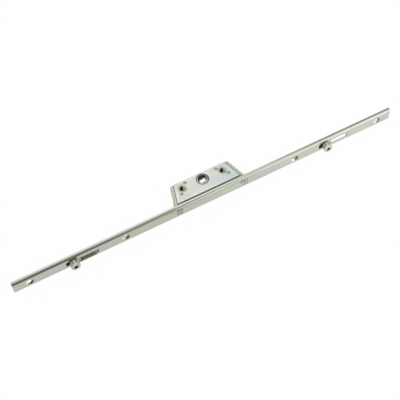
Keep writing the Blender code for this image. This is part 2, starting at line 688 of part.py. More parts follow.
def case_side_x(inset, y):
    """Half width of the case at a depth, moved in square to its slanted end."""
    slope = (CASE_FRONT_HALF_WIDTH - CASE_BACK_HALF_WIDTH) / (CASE_BACK_Y - CASE_FRONT_Y)
    return CASE_FRONT_HALF_WIDTH - slope * (y - CASE_FRONT_Y) - inset * math.hypot(1.0, slope)


def case_outline(inset, front, back):
    """Trapezium of the case, moved in at its slanted ends."""
    near = case_side_x(inset, front)
    far = case_side_x(inset, back)
    return [(-near, front), (near, front), (far, back), (-far, back)]


def rivet_points():
    """Places of the four cover rivets."""
    far = (HANDLE_SCREW_X - FAR_RIVET_INWARD, BACKSET + FAR_RIVET_BACK)
    near = (HANDLE_SCREW_X + NEAR_RIVET_OUTWARD, BACKSET - NEAR_RIVET_FORWARD)
    return [(side * x, y) for side in (-1, 1) for x, y in (far, near)]


def make_body():
    """The one-piece case: floor, end walls, back wall, pillars, feet and staked tenons."""
    body = prism("gearbox_body", case_outline(0.0, CASE_FRONT_Y, CASE_BACK_Y), "Z", CASE_BOTTOM_Z, CASE_TOP_Z)
    soften(body, CASE_CORNER_ROUND)
    cavity = case_outline(CASE_END_WALL, FOOT_BACK_Y, CASE_INNER_BACK_Y)
    cut(body, prism("case_cavity", cavity, "Z", CASE_FLOOR_Z, CASE_TOP_Z + OVERSHOOT))
    cut(body, block("case_mouth", (-FOOT_INNER_X, CASE_FRONT_Y - OVERSHOOT, CASE_FLOOR_Z),
                    (FOOT_INNER_X, FOOT_BACK_Y + OVERSHOOT, CASE_TOP_Z + OVERSHOOT)))
    for side in (-1, 1):
        join(body, cylinder("pillar", PILLAR_RADIUS, (side * HANDLE_SCREW_X, BACKSET, 0.0), "Z",
                            CASE_FLOOR_Z - JOIN_OVERLAP, CASE_TOP_Z - JOIN_OVERLAP, FINE_STEPS))
    for x, y in rivet_points():
        join(body, cylinder("boss", BOSS_RADIUS, (x, y, 0.0), "Z",
                            CASE_FLOOR_Z - 0.5 * JOIN_OVERLAP, COVER_SEAT_Z + JOIN_OVERLAP, COARSE_STEPS))
    recess_inset = CASE_END_WALL + COVER_SIDE_GAP - CLEARANCE
    recess = case_outline(recess_inset, FOOT_BACK_Y + JOIN_OVERLAP, CASE_BACK_Y + OVERSHOOT)
    cut(body, prism("cover_recess", recess, "Z", COVER_SEAT_Z, CASE_TOP_Z + OVERSHOOT))
    for side in (-1, 1):
        join(body, centred_block("tenon_neck", side * TENON_X, TENON_LENGTH - 2 * TENON_SINK,
                                 TENON_NECK_HEIGHT, RAIL_WALL - JOIN_OVERLAP, CASE_FRONT_Y + JOIN_OVERLAP))
        join(body, centred_block("tenon_head", side * TENON_X, TENON_LENGTH, TENON_HEAD_HEIGHT,
                                 TENON_SINK, RAIL_WALL))
        cut(body, cylinder("sleeve_hole", SLEEVE_RADIUS + CLEARANCE, (side * HANDLE_SCREW_X, BACKSET, 0.0),
                           "Z", CASE_BOTTOM_Z - OVERSHOOT, CASE_TOP_Z, FINE_STEPS))
    for x, y in rivet_points():
        cut(body, cylinder("boss_hole", COVER_RIVET_RADIUS + CLEARANCE, (x, y, 0.0), "Z",
                           CASE_BOTTOM_Z - OVERSHOOT, CASE_TOP_Z, COARSE_STEPS))
    cut(body, cylinder("body_hub_hole", FOLLOWER_RADIUS + HUB_HOLE_CLEARANCE, (0.0, BACKSET, 0.0), "Z",
                       CASE_BOTTOM_Z - OVERSHOOT, CASE_FLOOR_Z + JOIN_OVERLAP, FINE_STEPS))
    return set_as_part(body, CASE_STEEL)


def make_cover():
    """The cover plate, let in between the end walls."""
    inset = CASE_END_WALL + COVER_SIDE_GAP
    outline = case_outline(inset, COVER_FRONT_Y, CASE_BACK_Y)
    cover = prism("cover_plate", outline, "Z", COVER_BOTTOM_Z, CASE_TOP_Z)
    soften(cover, COVER_CHAMFER)
    cut(cover, cylinder("cover_hub_hole", FOLLOWER_RADIUS + HUB_HOLE_CLEARANCE, (0.0, BACKSET, 0.0), "Z",
                        COVER_BOTTOM_Z - OVERSHOOT, CASE_TOP_Z + OVERSHOOT, FINE_STEPS))
    for side in (-1, 1):
        cut(cover, cone_hole("cover_sleeve_hole", SLEEVE_RADIUS + CLEARANCE,
                             SLEEVE_FLARE_RADIUS + 1.5 * CLEARANCE, COVER_THICKNESS, CASE_TOP_Z,
                             (side * HANDLE_SCREW_X, BACKSET, 0.0), "Z", COVER_BOTTOM_Z, FINE_STEPS))
    for x, y in rivet_points():
        cut(cover, cone_hole("cover_rivet_hole", COVER_RIVET_RADIUS + CLEARANCE,
                             COVER_RIVET_HEAD_RADIUS + CLEARANCE, COVER_RIVET_HEAD_DEPTH, CASE_TOP_Z,
                             (x, y, 0.0), "Z", COVER_BOTTOM_Z, COARSE_STEPS))
    return set_as_part(cover, COVER_STEEL)


def make_sleeve(side, suffix):
    """The flared tube that a handle screw passes through."""
    top = CASE_TOP_Z - 0.5 * CLEARANCE
    bottom = CASE_BOTTOM_Z + 0.5 * CLEARANCE
    profile = [
        (SLEEVE_FLARE_RADIUS, top),
        (SLEEVE_RADIUS, top - SLEEVE_FLARE_DEPTH),
        (SLEEVE_RADIUS, bottom),
        (SLEEVE_BORE_RADIUS, bottom),
        (SLEEVE_BORE_RADIUS, top - SLEEVE_FLARE_DEPTH),
        (SLEEVE_FLARE_RADIUS - SLEEVE_WALL, top),
    ]
    sleeve = turned("screw_sleeve_" + suffix, profile, (side * HANDLE_SCREW_X, BACKSET, 0.0), "Z", FINE_STEPS)
    return set_as_part(sleeve, CASE_STEEL)


def make_cover_rivet(number, x, y):
    """A countersunk rivet through the cover and a boss of the body."""
    top = CASE_TOP_Z - 0.5 * CLEARANCE
    bottom = CASE_BOTTOM_Z + 0.5 * CLEARANCE
    profile = [
        (0.0, top),
        (COVER_RIVET_HEAD_RADIUS, top),
        (COVER_RIVET_RADIUS, top - COVER_RIVET_HEAD_DEPTH),
        (COVER_RIVET_RADIUS, bottom),
        (0.0, bottom),
    ]
    rivet = turned("cover_rivet_" + str(number), profile, (x, y, 0.0), "Z", COARSE_STEPS)
    return set_as_part(rivet, RIVET_STEEL)


def main():
    """Build every piece of the espagnolette."""
    make_rail()
    make_body()
    make_cover()
    make_follower()
    make_rod()
    make_rack()
    make_rack_rivet("rack_rivet_left", RACK_RIVET_LEFT_X)
    make_rack_rivet("rack_rivet_right", RACK_RIVET_RIGHT_X)
    for number, (x, y) in enumerate(rivet_points(), start=1):
        make_cover_rivet(number, x, y)
    for side, suffix in ((-1, "left"), (1, "right")):
        make_sleeve(side, suffix)
        make_block(side, suffix)
        make_glide(side, suffix)
        make_block_rivet(side, suffix)
        make_cam(side, suffix)
        make_washer(side, suffix)


main()
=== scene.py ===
"""Looks of a window espagnolette: plated rail, gearbox, slide blocks and mushroom cams."""
from __future__ import annotations

import logging
import math
from collections.abc import Callable, Sequence
from dataclasses import dataclass
from enum import Enum

import bmesh
import bpy
from mathutils import Matrix, Vector

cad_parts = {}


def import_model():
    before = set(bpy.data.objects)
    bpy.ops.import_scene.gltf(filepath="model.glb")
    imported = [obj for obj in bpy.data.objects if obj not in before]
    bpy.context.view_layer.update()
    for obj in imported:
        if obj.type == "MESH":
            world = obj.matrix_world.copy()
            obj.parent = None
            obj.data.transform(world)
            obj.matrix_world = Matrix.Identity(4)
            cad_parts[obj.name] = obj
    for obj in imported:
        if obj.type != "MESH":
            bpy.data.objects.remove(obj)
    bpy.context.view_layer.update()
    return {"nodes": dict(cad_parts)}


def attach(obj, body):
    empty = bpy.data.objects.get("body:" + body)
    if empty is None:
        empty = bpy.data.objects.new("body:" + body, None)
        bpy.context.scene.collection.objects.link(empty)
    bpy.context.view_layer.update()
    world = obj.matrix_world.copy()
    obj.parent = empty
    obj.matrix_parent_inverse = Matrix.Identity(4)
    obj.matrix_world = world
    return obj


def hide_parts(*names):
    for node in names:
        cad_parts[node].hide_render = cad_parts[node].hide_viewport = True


LOG = logging.getLogger("espagnolette")
Colour = tuple[float, float, float]
Point = tuple[float, float, float]
Piece = bpy.types.Object
Material = bpy.types.Material
Edge = bmesh.types.BMEdge
Pair = tuple[float, float]  # a smooth step's start and end, or a point in a plane
Band = tuple[float, float, float]  # a window's start and end, and the width of its soft edges

SIDES = (-1, 1)
HANDS = ("left", "right")
HALVES = (-0.01, 0.01)  # the step between the left and the right half
SPINDLE_Y = 0.020
SCREW_X = 0.0215
RIVETS = ((0.0165, 0.0242), (0.0251, 0.0145))
WINDOW_X = 0.0346
HOLES = (0.0901, 0.1845)
CAM_HEADS = (-0.142186, 0.124614)
CAM_SHANKS = (-0.141586, 0.125214)
OVER = 0.001  # how far a punch reaches past a face
FINE = 1e-6  # distance under which two places are the same
CORNER = 0.6  # angle from which an edge is a corner


class Value:
    """A shader socket that takes part in Python sums."""

    def __init__(self, shader: Shader, socket: bpy.types.NodeSocket) -> None:
        """Keep an output socket and the shader it belongs to."""
        self.shader = shader
        self.socket = socket

    def _sum(self, operation: str, first: object, second: object = 0.0) -> Value:
        """Result of one Math node, on one or two values or numbers."""
        return self.shader.node("ShaderNodeMath", {"operation": operation}, {0: first, 1: second})

    def __add__(self, other: object) -> Value:
        """Sum of this and another value."""
        return self._sum("ADD", self, other)

    def __radd__(self, other: object) -> Value:
        """Sum with a number on the left."""
        return self._sum("ADD", other, self)

    def __sub__(self, other: object) -> Value:
        """Difference of this and another value."""
        return self._sum("SUBTRACT", self, other)

    def __rsub__(self, other: object) -> Value:
        """Difference with a number on the left."""
        return self._sum("SUBTRACT", other, self)

    def __mul__(self, other: object) -> Value:
        """Product of this and another value."""
        return self._sum("MULTIPLY", self, other)

    def __rmul__(self, other: object) -> Value:
        """Product with a number on the left."""
        return self._sum("MULTIPLY", other, self)

    def __truediv__(self, other: object) -> Value:
        """Quotient of this and another value."""
        return self._sum("DIVIDE", self, other)

    def __pow__(self, other: object) -> Value:
        """This value raised to a power."""
        return self._sum("POWER", self, other)

    def __abs__(self) -> Value:
        """The value without its sign."""
        return self._sum("ABSOLUTE", self)

    def sign(self) -> Value:
        """The value's sign alone, -1 or 1."""
        return self._sum("SIGN", self)

    def at_most(self, limit: float) -> Value:
        """The smaller of this value and a limit."""
        return self._sum("MINIMUM", self, limit)

    def at_least(self, limit: float) -> Value:
        """The larger of this value and a limit."""
        return self._sum("MAXIMUM", self, limit)

    def ramp(self, start: float, end: float) -> Value:
        """Smooth step of this value: 0 up to the start, 1 from the end on."""
        settings = {"interpolation_type": "SMOOTHSTEP", "clamp": True}
        return self.shader.node("ShaderNodeMapRange", settings, {"Value": self, "From Min": start, "From Max": end})

    def within(self, low: float, high: float, soft: float) -> Value:
        """1 from low to high and 0 outside, with soft edges outside of the window."""
        return self.ramp(low - soft, low) * (1.0 - self.ramp(high, high + soft))


class Shader:
    """A node tree under construction."""

    def __init__(self, tree: bpy.types.NodeTree) -> None:
        """Empty the node tree of a material or a world."""
        self.tree = tree
        tree.nodes.clear()

    def node(self, kind: str, settings: dict[str, object] | None = None,
             inputs: dict[object, object] | None = None, output: int | str = 0) -> Value:
        """Add a node.

        Args:
            kind: The node's type.
            settings: Attributes to set first.
            inputs: Values or links of its sockets, by name or number.
            output: Which output the result stands for.

        Returns:
            The output, as a value.
        """
        made = self.tree.nodes.new(kind)
        for name, setting in (settings or {}).items():
            setattr(made, name, setting)
        for name, value in (inputs or {}).items():
            socket = made.inputs[name]
            if isinstance(value, Value):
                self.tree.links.new(value.socket, socket)
            elif isinstance(value, tuple) and socket.type == "RGBA":
                socket.default_value = (*value, 1.0)
            else:
                socket.default_value = value
        return Value(self, made.outputs[output] if len(made.outputs) else None)

    def place(self) -> Value:
        """Object coordinates, in metres."""
        return self.node("ShaderNodeTexCoord", output="Object")

    def axes(self, vector: Value) -> tuple[Value, Value, Value]:
        """The x, y and z of a vector."""
        outputs = self.node("ShaderNodeSeparateXYZ", inputs={0: vector}).socket.node.outputs
        return Value(self, outputs[0]), Value(self, outputs[1]), Value(self, outputs[2])

    def stretch(self, vector: Value, scale: Point) -> Value:
        """A vector with each of its parts multiplied."""
        return self.node("ShaderNodeVectorMath", {"operation": "MULTIPLY"}, {0: vector, 1: scale})

    def noise(self, vector: Value, scale: float, detail: float = 2.0, roughness: float = 0.5) -> Value:
        """Soft noise from about 0.3 to 0.7; scale in cycles per metre, detail in octaves."""
        inputs = {"Vector": vector, "Scale": scale, "Detail": detail, "Roughness": roughness}
        return self.node("ShaderNodeTexNoise", {"noise_dimensions": "3D"}, inputs)

    def blend(self, factor: object, first: object, second: object) -> Value:
        """Mix of two colours, where factor is the share of the second."""
        return self.node("ShaderNodeMix", {"data_type": "RGBA"}, {0: factor, 6: first, 7: second}, output=2)

    def surface(self, inputs: dict[str, object]) -> None:
        """End a material in one Principled shader with these values and links."""
        self.end(self.node("ShaderNodeBsdfPrincipled", inputs=inputs))

    def end(self, surface: Value, kind: str = "ShaderNodeOutputMaterial") -> None:
        """Link a surface to the tree's output node."""
        self.node(kind, inputs={"Surface": surface})


class Coat:
    """A colour built up on a surface, stroke by stroke."""

    def __init__(self, shader: Shader, place: Value, base: object) -> None:
        """Begin with one colour all over.

        Args:
            shader: The material's shader.
            place: Object coordinates.
            base: The first colour.
        """
        self.shader = shader
        self.place = place
        self.x, self.y, self.z = shader.axes(place)
        self.colour = base

    def paint(self, share: object, colour: object) -> None:
        """Lay a colour over the coat, by a share from 0 to 1."""
        self.colour = self.shader.blend(share, self.colour, colour)


def scaled(colour: Colour, factor: float) -> Colour:
    """A colour made darker or lighter."""
    return tuple(factor * part for part in colour)


def new_material(name: str) -> tuple[Material, Shader]:
    """Start a material.

    Args:
        name: Its name.

    Returns:
        The material and its empty shader.
    """
    material = bpy.data.materials.new(name)
    material.use_nodes = True
    return material, Shader(material.node_tree)


class Grain(Enum):
    """Which way a finish is brushed."""

    ALONG_X = (1.0, 30.0, 30.0)
    ALONG_Y = (30.0, 1.0, 30.0)
    NONE = (1.0, 1.0, 1.0)


@dataclass(frozen=True)
class PlatedSteel:
    """Zinc-plated steel: a tint that drifts between warm and cool, brushing, and small dull spots.

    Steps and windows of a finish are places in metres, along x, y, z or out from an axis.
    """

    name: str
    tint: Colour
    warm: Colour
    cool: Colour
    roughness: float
    grain: Grain
    metallic: float = 0.92
    drift_scale: float = 26.0
    drift_range: Pair = (0.5, 0.7)
    spot_scale: float = 420.0
    spot_range: Pair = (0.56, 0.72)
    line_scale: float = 260.0
    cloud_scale: float = 90.0
    pit_scale: float = 900.0
    scratch: float = 0.35
    scratch_depth: float = 0.00002

    def coat(self, shader: Shader, place: Value) -> Coat:
        """The plating before its marks.

        Args:
            shader: The material's shader.
            place: Object coordinates.

        Returns:
            A coat with drift and spots.
        """
        stretched = shader.stretch(place, (0.35, 1.0, 1.0))
        warmth = shader.noise(stretched, self.drift_scale).ramp(*self.drift_range)
        coolness = shader.noise(stretched, self.drift_scale * 1.37, 2.0, 0.45).ramp(*self.drift_range)
        coat = Coat(shader, place, self.tint)
        coat.paint(warmth * 0.8, self.warm)
        coat.paint(coolness * 0.7, self.cool)
        coat.paint(self.spots(coat) * 0.35, scaled(self.tint, 0.82))
        return coat

    def spots(self, coat: Coat) -> Value:
        """Where small dull spots lie."""
        return coat.shader.noise(coat.place, self.spot_scale, 3.0, 0.6).ramp(*self.spot_range)

    def marks(self, coat: Coat) -> None:
        """Marks on top of the plating; plain steel has none."""

    def dullness(self, coat: Coat) -> Value | float:
        """Roughness before its fine variation; the same everywhere."""
        return self.roughness

    def make(self) -> Material:
        """Build the material.

        Returns:
            The finished material.
        """
        material, shader = new_material(self.name)
        place = shader.place()
        coat = self.coat(shader, place)
        self.marks(coat)
        lines = shader.noise(shader.stretch(place, self.grain.value), self.line_scale, 3.0, 0.6)
        cloud = shader.noise(place, self.cloud_scale, 3.0, 0.55)
        height = lines * 0.6 + shader.noise(place, self.pit_scale) * 0.4
        relief = {"Strength": self.scratch, "Distance": self.scratch_depth, "Height": height}
        shader.surface({
            "Base Color": coat.colour,
            "Metallic": self.metallic,
            "Roughness": (0.80 + 0.25 * lines + 0.15 * cloud) * self.dullness(coat),
            "Normal": shader.node("ShaderNodeBump", inputs=relief),
        })
        return material


@dataclass(frozen=True)
class RailPlating(PlatedSteel):
    """Plating of the rail: painted lighter towards the right as a reflection, cooler in patches, with painted
    reflections, highlights and shade along the upper bend and round its openings.
    """

    # right: the lighter tint towards the rail's right end, a painted reflection
    right: Colour = (0.59, 0.61, 0.525)
    # The dark colour of every painted shade and shadow on the rail.
    painted_shade: Colour = (0.11, 0.115, 0.085)
    lilac: Colour = (0.66, 0.63, 0.64)
    # upper: the colour of the painted reflection on the upper bend
    upper: Colour = (0.53, 0.515, 0.475)
    # lip: the colour of the painted highlights on the upper bend
    lip: Colour = (0.80, 0.79, 0.725)
    # bright: the colour of the painted highlight in the countersinks
    bright: Colour = (0.98, 0.98, 0.95)
    patches: tuple[Pair, ...] = ((-0.162, 0.020), (-0.1115, 0.013), (0.042, 0.030), (0.070, 0.016),
                                  (0.152, 0.006), (0.186, 0.014))
    rightward: Pair = (-0.06, 0.09)
    patch_height: Pair = (0.0, 0.0045)
    bend: Pair = (0.0003, 0.0010)
    bend_top: Pair = (0.0016, 0.0026)
    bend_end: Pair = (-0.06, 0.0)
    upward: Pair = (0.0, 0.001)
    case_end: Pair = (0.036, 0.041)
    foot_line: Band = (0.0043, 0.0050, 0.0003)
    foot_start: Pair = (-0.06, -0.03)
    foot_fade: Pair = (0.01, 0.09)
    gleam_line: Band = (0.0054, 0.0062, 0.0003)
    gleam_reach: Band = (-0.030, 0.008, 0.014)
    lip_line: Band = (0.0015, 0.0019, 0.0003)
    seat: Pair = (0.0022, 0.0026)
    right_lip: Pair = (-0.0030, -0.0026)
    right_slot: Band = (0.1322, 0.1495, 0.001)
    slot_end: Band = (0.1493, 0.1501, 0.0003)
    slot_height: Band = (-0.0018, 0.0034, 0.0006)
    left_lip: Band = (-0.0066, -0.0030, 0.0003)
    left_slot: Band = (-0.1371, -0.1204, 0.0014)
    left_fade: Pair = (0.0045, 0.0065)
    face_only: Pair = (0.0002, 0.0004)
    window_half: Pair = (0.0030, 0.0036)
    window_top: Band = (0.0033, 0.0041, 0.0004)
    window_side: Band = (0.0306, 0.0315, 0.0003)
    window_height: Band = (0.0002, 0.0036, 0.0006)
    sink_rim: Pair = (0.0034, 0.0037)
    sink_wall: Pair = (0.00004, 0.00015)
    sink_shade: Pair = (0.0007, 0.0021)
    mark_lean: Pair = (0.0020, 0.0030)
    mark_inner: Pair = (0.0028, 0.0032)
    mark_outer: Pair = (0.0036, 0.0044)

    def coat(self, shader: Shader, place: Value) -> Coat:
        """The plating before its marks.

        Args:
            shader: The material's shader.
            place: Object coordinates.

        Returns:
            A coat with warm clouds and cool patches.
        """
        coat = Coat(shader, place, self.tint)
        rightward = coat.x.ramp(*self.rightward)
        cloud = shader.noise(shader.stretch(place, (0.5, 1.0, 1.0)), 60.0).ramp(0.35, 0.65)
        warmth = shader.noise(shader.stretch(place, (0.4, 1.0, 1.0)), 34.0).ramp(0.45, 0.70)
        # Painted reflection: the face turns lighter towards the right.
        coat.paint(rightward, self.right)
        coat.paint(warmth * 0.45, self.warm)
        cool = shader.blend(rightward, scaled(self.cool, 0.92), self.cool)
        low = 1.0 - rightward * coat.z.ramp(*self.patch_height) * 0.85
        for middle, reach in self.patches:
            near = (1.0 - abs(coat.x - middle) / reach).at_least(0.0) * low
            coat.paint(near.ramp(0.0, 0.8) * (0.55 + 0.45 * cloud), cool)
        return coat

    def marks(self, coat: Coat) -> None:
        """Mark the bends, slots, windows and countersinks, then the spots.

        Args:
            coat: The rail's coat.
        """
        self.mark_bends(coat)
        self.mark_openings(coat)
        for hole in HOLES:
            self.mark_sink(coat, hole)
        coat.paint(self.spots(coat) * 0.25, scaled(self.tint, 0.8))

    def mark_bends(self, coat: Coat) -> None:
        """Paint the reflections, highlights and shade lines that run along the upper bend and where the rail meets
        the case.

        Args:
            coat: The rail's coat.
        """
        x, y, z = coat.x, coat.y, coat.z
        above = z.ramp(*self.upward)
        middle = 1.0 - abs(x).ramp(*self.case_end)
        # Painted reflection: the left half of the upper bend, darker towards the face and paler towards its back.
        bend_shade = coat.shader.blend(y.ramp(*self.bend_top), scaled(self.upper, 0.86), self.upper)
        coat.paint(y.ramp(*self.bend) * (1.0 - x.ramp(*self.bend_end)) * above * 0.8, bend_shade)
        # Painted reflection: a dark line at the foot of the upper bend, from left of the middle rightwards, fading
        # towards the right.
        foot = z.within(*self.foot_line) * x.ramp(*self.foot_start)
        coat.paint(foot * (0.62 - 0.46 * x.ramp(*self.foot_fade)), self.painted_shade)
        # Painted highlights: a bright line at the start of the upper bend near the middle, and one halfway round
        # the upper bend along the case.
        coat.paint(z.within(*self.gleam_line) * x.within(*self.gleam_reach) * 0.9, self.lip)
        coat.paint(y.within(*self.lip_line) * middle * above, self.lip)
        # Painted shade on the rail's back edge, where it meets the case.
        coat.paint(y.ramp(*self.seat) * middle * 0.55, self.painted_shade)

    def mark_openings(self, coat: Coat) -> None:
        """Paint shade at the edges of both slots and both windows, and colour the lip below the right slot lilac.

        Args:
            coat: The rail's coat.
        """
        x, y, z = coat.x, coat.y, coat.z
        coat.paint((1.0 - z.ramp(*self.right_lip)) * x.within(*self.right_slot), self.lilac)
        # Painted shade on the right end wall of the right slot.
        coat.paint(x.within(*self.slot_end) * z.within(*self.slot_height) * 0.4, self.painted_shade)
        # Painted shade on the face below the left slot, lighter further down.
        lip_shade = z.within(*self.left_lip) * x.within(*self.left_slot) * (1.0 - y.ramp(*self.face_only))
        coat.paint(lip_shade * (0.9 - 0.35 * (-1.0 * z).ramp(*self.left_fade)), self.painted_shade)
        # Painted shadow along the top edges of both windows, weaker on the right, and a painted shade stroke just
        # left of the right window.
        top = (1.0 - abs(abs(x) - WINDOW_X).ramp(*self.window_half)) * z.within(*self.window_top)
        stroke = x.within(*self.window_side) * z.within(*self.window_height)
        coat.paint(top * (0.85 - x.ramp(*HALVES) * 0.35) + stroke, self.painted_shade)

    def mark_sink(self, coat: Coat, hole: float) -> None:
        """Paint a highlight on the left and shade on the right of a countersink, on either side of the rail.

        Args:
            coat: The rail's coat.
            hole: The countersink's distance from the rail's middle.
        """
        across = (abs(coat.x) - hole) * coat.x.sign()
        radius = (across * across + coat.z * coat.z) ** 0.5
        lean = across - coat.z * 0.45
        # Painted light and shade inside the countersink: highlight to the left, shade to the right and low.
        shade = coat.shader.blend(lean.ramp(*self.sink_shade), self.bright, self.painted_shade)
        coat.paint((1.0 - radius.ramp(*self.sink_rim)) * coat.y.ramp(*self.sink_wall), shade)
        # Painted shade: a dark crescent on the countersink's right rim.
        mark = lean.ramp(*self.mark_lean) * (1.0 - radius.ramp(*self.mark_outer)) * radius.ramp(*self.mark_inner)
        coat.paint(mark * 0.85, self.painted_shade)


@dataclass(frozen=True)
class CoverPlating(PlatedSteel):
    """Plating of the cover: warm white in the middle, blue towards the front corners, with a painted shade line
    along its front edge.
    """

    # The dark colour of the painted shade line along the front edge.
    painted_gap_shade: Colour = (0.06, 0.065, 0.06)
    back: Pair = (0.020, 0.025)
    front: Pair = (0.006, 0.015)
    right_end: Pair = (0.014, 0.033)
    front_edge: Pair = (0.0066, 0.0072)
    cream: Band = (0.0225, 0.026, 0.003)

    def coat(self, shader: Shader, place: Value) -> Coat:
        """The tint alone."""
        return Coat(shader, place, self.tint)

    def marks(self, coat: Coat) -> None:
        """Colour the corners and the back, and paint shade along the front edge.

        Args:
            coat: The cover's coat.
        """
        x, y = coat.x, coat.y
        cloud = (coat.shader.noise(coat.place, 85.0, 3.0, 0.55) - 0.5) * 1.3
        right = (x * 26.0 - (y - 0.016) * 38.0 + cloud).ramp(-0.15, 0.75)
        left = (x * -26.0 - (y - 0.010) * 60.0 + cloud).ramp(0.25, 1.1)
        coat.paint(y.ramp(*self.back), scaled(self.tint, 0.92))
        coat.paint((1.0 - y.ramp(*self.front)) * 0.7, scaled(self.tint, 0.95))
        coat.paint(left * 0.9, scaled(self.cool, 0.84))
        coat.paint(right * 0.9, self.cool)
        coat.paint((y + x * 0.2).within(*self.cream) * 0.4, self.warm)
        coat.paint(x.ramp(*self.right_end) * 0.4, scaled(self.cool, 0.86))
        # Painted shade: a dark line along the front edge, where the cover meets the case.
        coat.paint((1.0 - y.ramp(*self.front_edge)) * 0.75, self.painted_gap_shade)


@dataclass(frozen=True)
class CasePlating(PlatedSteel):
    """Plating of the case: warm end walls with painted shade along their edges; the staked tenons take the rail's
    tone, painted darker on the left and lighter on the right as a reflection, with painted shadow along their tops.
    """

    # The colour of the painted shade along the end walls.
    edge_shade: Colour = (0.36, 0.35, 0.27)
    # The two tenon faces: darker on the left, lighter on the right, as painted reflection.
    left_face: Colour = (0.40, 0.39, 0.29)
    right_face: Colour = (0.50, 0.53, 0.455)
    # The colour of the painted shadow on the tenons.
    seam_shadow: Colour = (0.13, 0.125, 0.075)
    wall_slope: float = 0.279
    wall_outside: Pair = (0.0364, 0.0377)
    wall_inside: Pair = (0.0346, 0.0360)
    stroke: Band = (0.0334, 0.0342, 0.0003)
    stroke_height: Pair = (-0.0012, -0.0002)
    tenon_top: Pair = (0.0022, 0.0030)
    tenon_end: Pair = (0.0016, 0.0026)

    def marks(self, coat: Coat) -> None:
        """Paint shade along the end walls, and colour the tenons with painted shadow along their tops.

        Args:
            coat: The case's coat.
        """
        right = coat.x.ramp(*HALVES)
        outer = abs(coat.x) + self.wall_slope * (coat.y - 0.0035)
        edge = outer.ramp(*self.wall_outside) * (0.5 - 0.1 * right)
        inner = (1.0 - outer.ramp(*self.wall_inside)) * (0.15 + 0.2 * right)
        # Painted shade along the end walls' outer edges and on their inner side, the inner shade more on the right.
        coat.paint(edge + inner, self.edge_shade)
        # Painted shadow on the tenons: a stroke on the right one's left part and a band along their tops, stronger
        # on the left; the faces darker on the left and lighter on the right as painted reflection.
        stroke = coat.x.within(*self.stroke) * coat.z.ramp(*self.stroke_height)
        seam_shadow = (stroke + coat.z.ramp(*self.tenon_top) * (0.9 - right * 0.45)).at_most(1.0)
        face = coat.shader.blend(right, self.left_face, self.right_face)
        coat.paint(1.0 - coat.y.ramp(*self.tenon_end), coat.shader.blend(seam_shadow, face, self.seam_shadow))


@dataclass(frozen=True)
class SleevePlating(PlatedSteel):
    """Plating of a screw sleeve, with painted shade down its bore, most on the left, and painted light on the
    bore's sides.
    """

    # The dark colour of the painted shade down the bore.
    depth_shade: Colour = (0.035, 0.032, 0.018)
    # The pale colour of the painted light on the bore's sides.
    wall: Colour = (0.90, 0.84, 0.68)
    bore: Pair = (0.0026, 0.0031)
    bore_top: Pair = (0.0031, 0.0036)
    flare: Pair = (0.0030, 0.0035)
    flare_side: Pair = (-0.002, 0.0)
    lit_right: Pair = (0.0006, 0.0023)
    lit_left: Pair = (0.0008, 0.0020)

    def spot(self, coat: Coat) -> tuple[Value, Value, Value]:
        """Where a point lies on its sleeve.

        Args:
            coat: The sleeve's coat.

        Returns:
            Its distance to the right of the axis, its distance from the axis, and whether it is in the bore.
        """
        across = (abs(coat.x) - SCREW_X) * coat.x.sign()
        radius = (across * across + (coat.y - SPINDLE_Y) * (coat.y - SPINDLE_Y)) ** 0.5
        inside = (1.0 - radius.ramp(*self.bore)) * (1.0 - coat.z.ramp(*self.bore_top))
        return across, radius, inside

    def marks(self, coat: Coat) -> None:
        """Paint shade on the flare, and light and shade in the bore.

        Args:
            coat: The sleeve's coat.
        """
        across, radius, inside = self.spot(coat)
        flare = (1.0 - radius.ramp(*self.flare)) * (1.0 - across.ramp(*self.flare_side))
        # Painted shade: faint, on the flare's left side.
        coat.paint(flare * 0.12, self.depth_shade)
        lit = across.ramp(*self.lit_right) + 0.9 * (-1.0 * across).ramp(*self.lit_left)
        # Painted shade down the bore's middle, painted light towards its sides.
        coat.paint(inside, coat.shader.blend(lit, self.depth_shade, self.wall))

    def dullness(self, coat: Coat) -> Value | float:
        """Roughness, higher down the bore."""
        return self.spot(coat)[2] * 0.5 + self.roughness


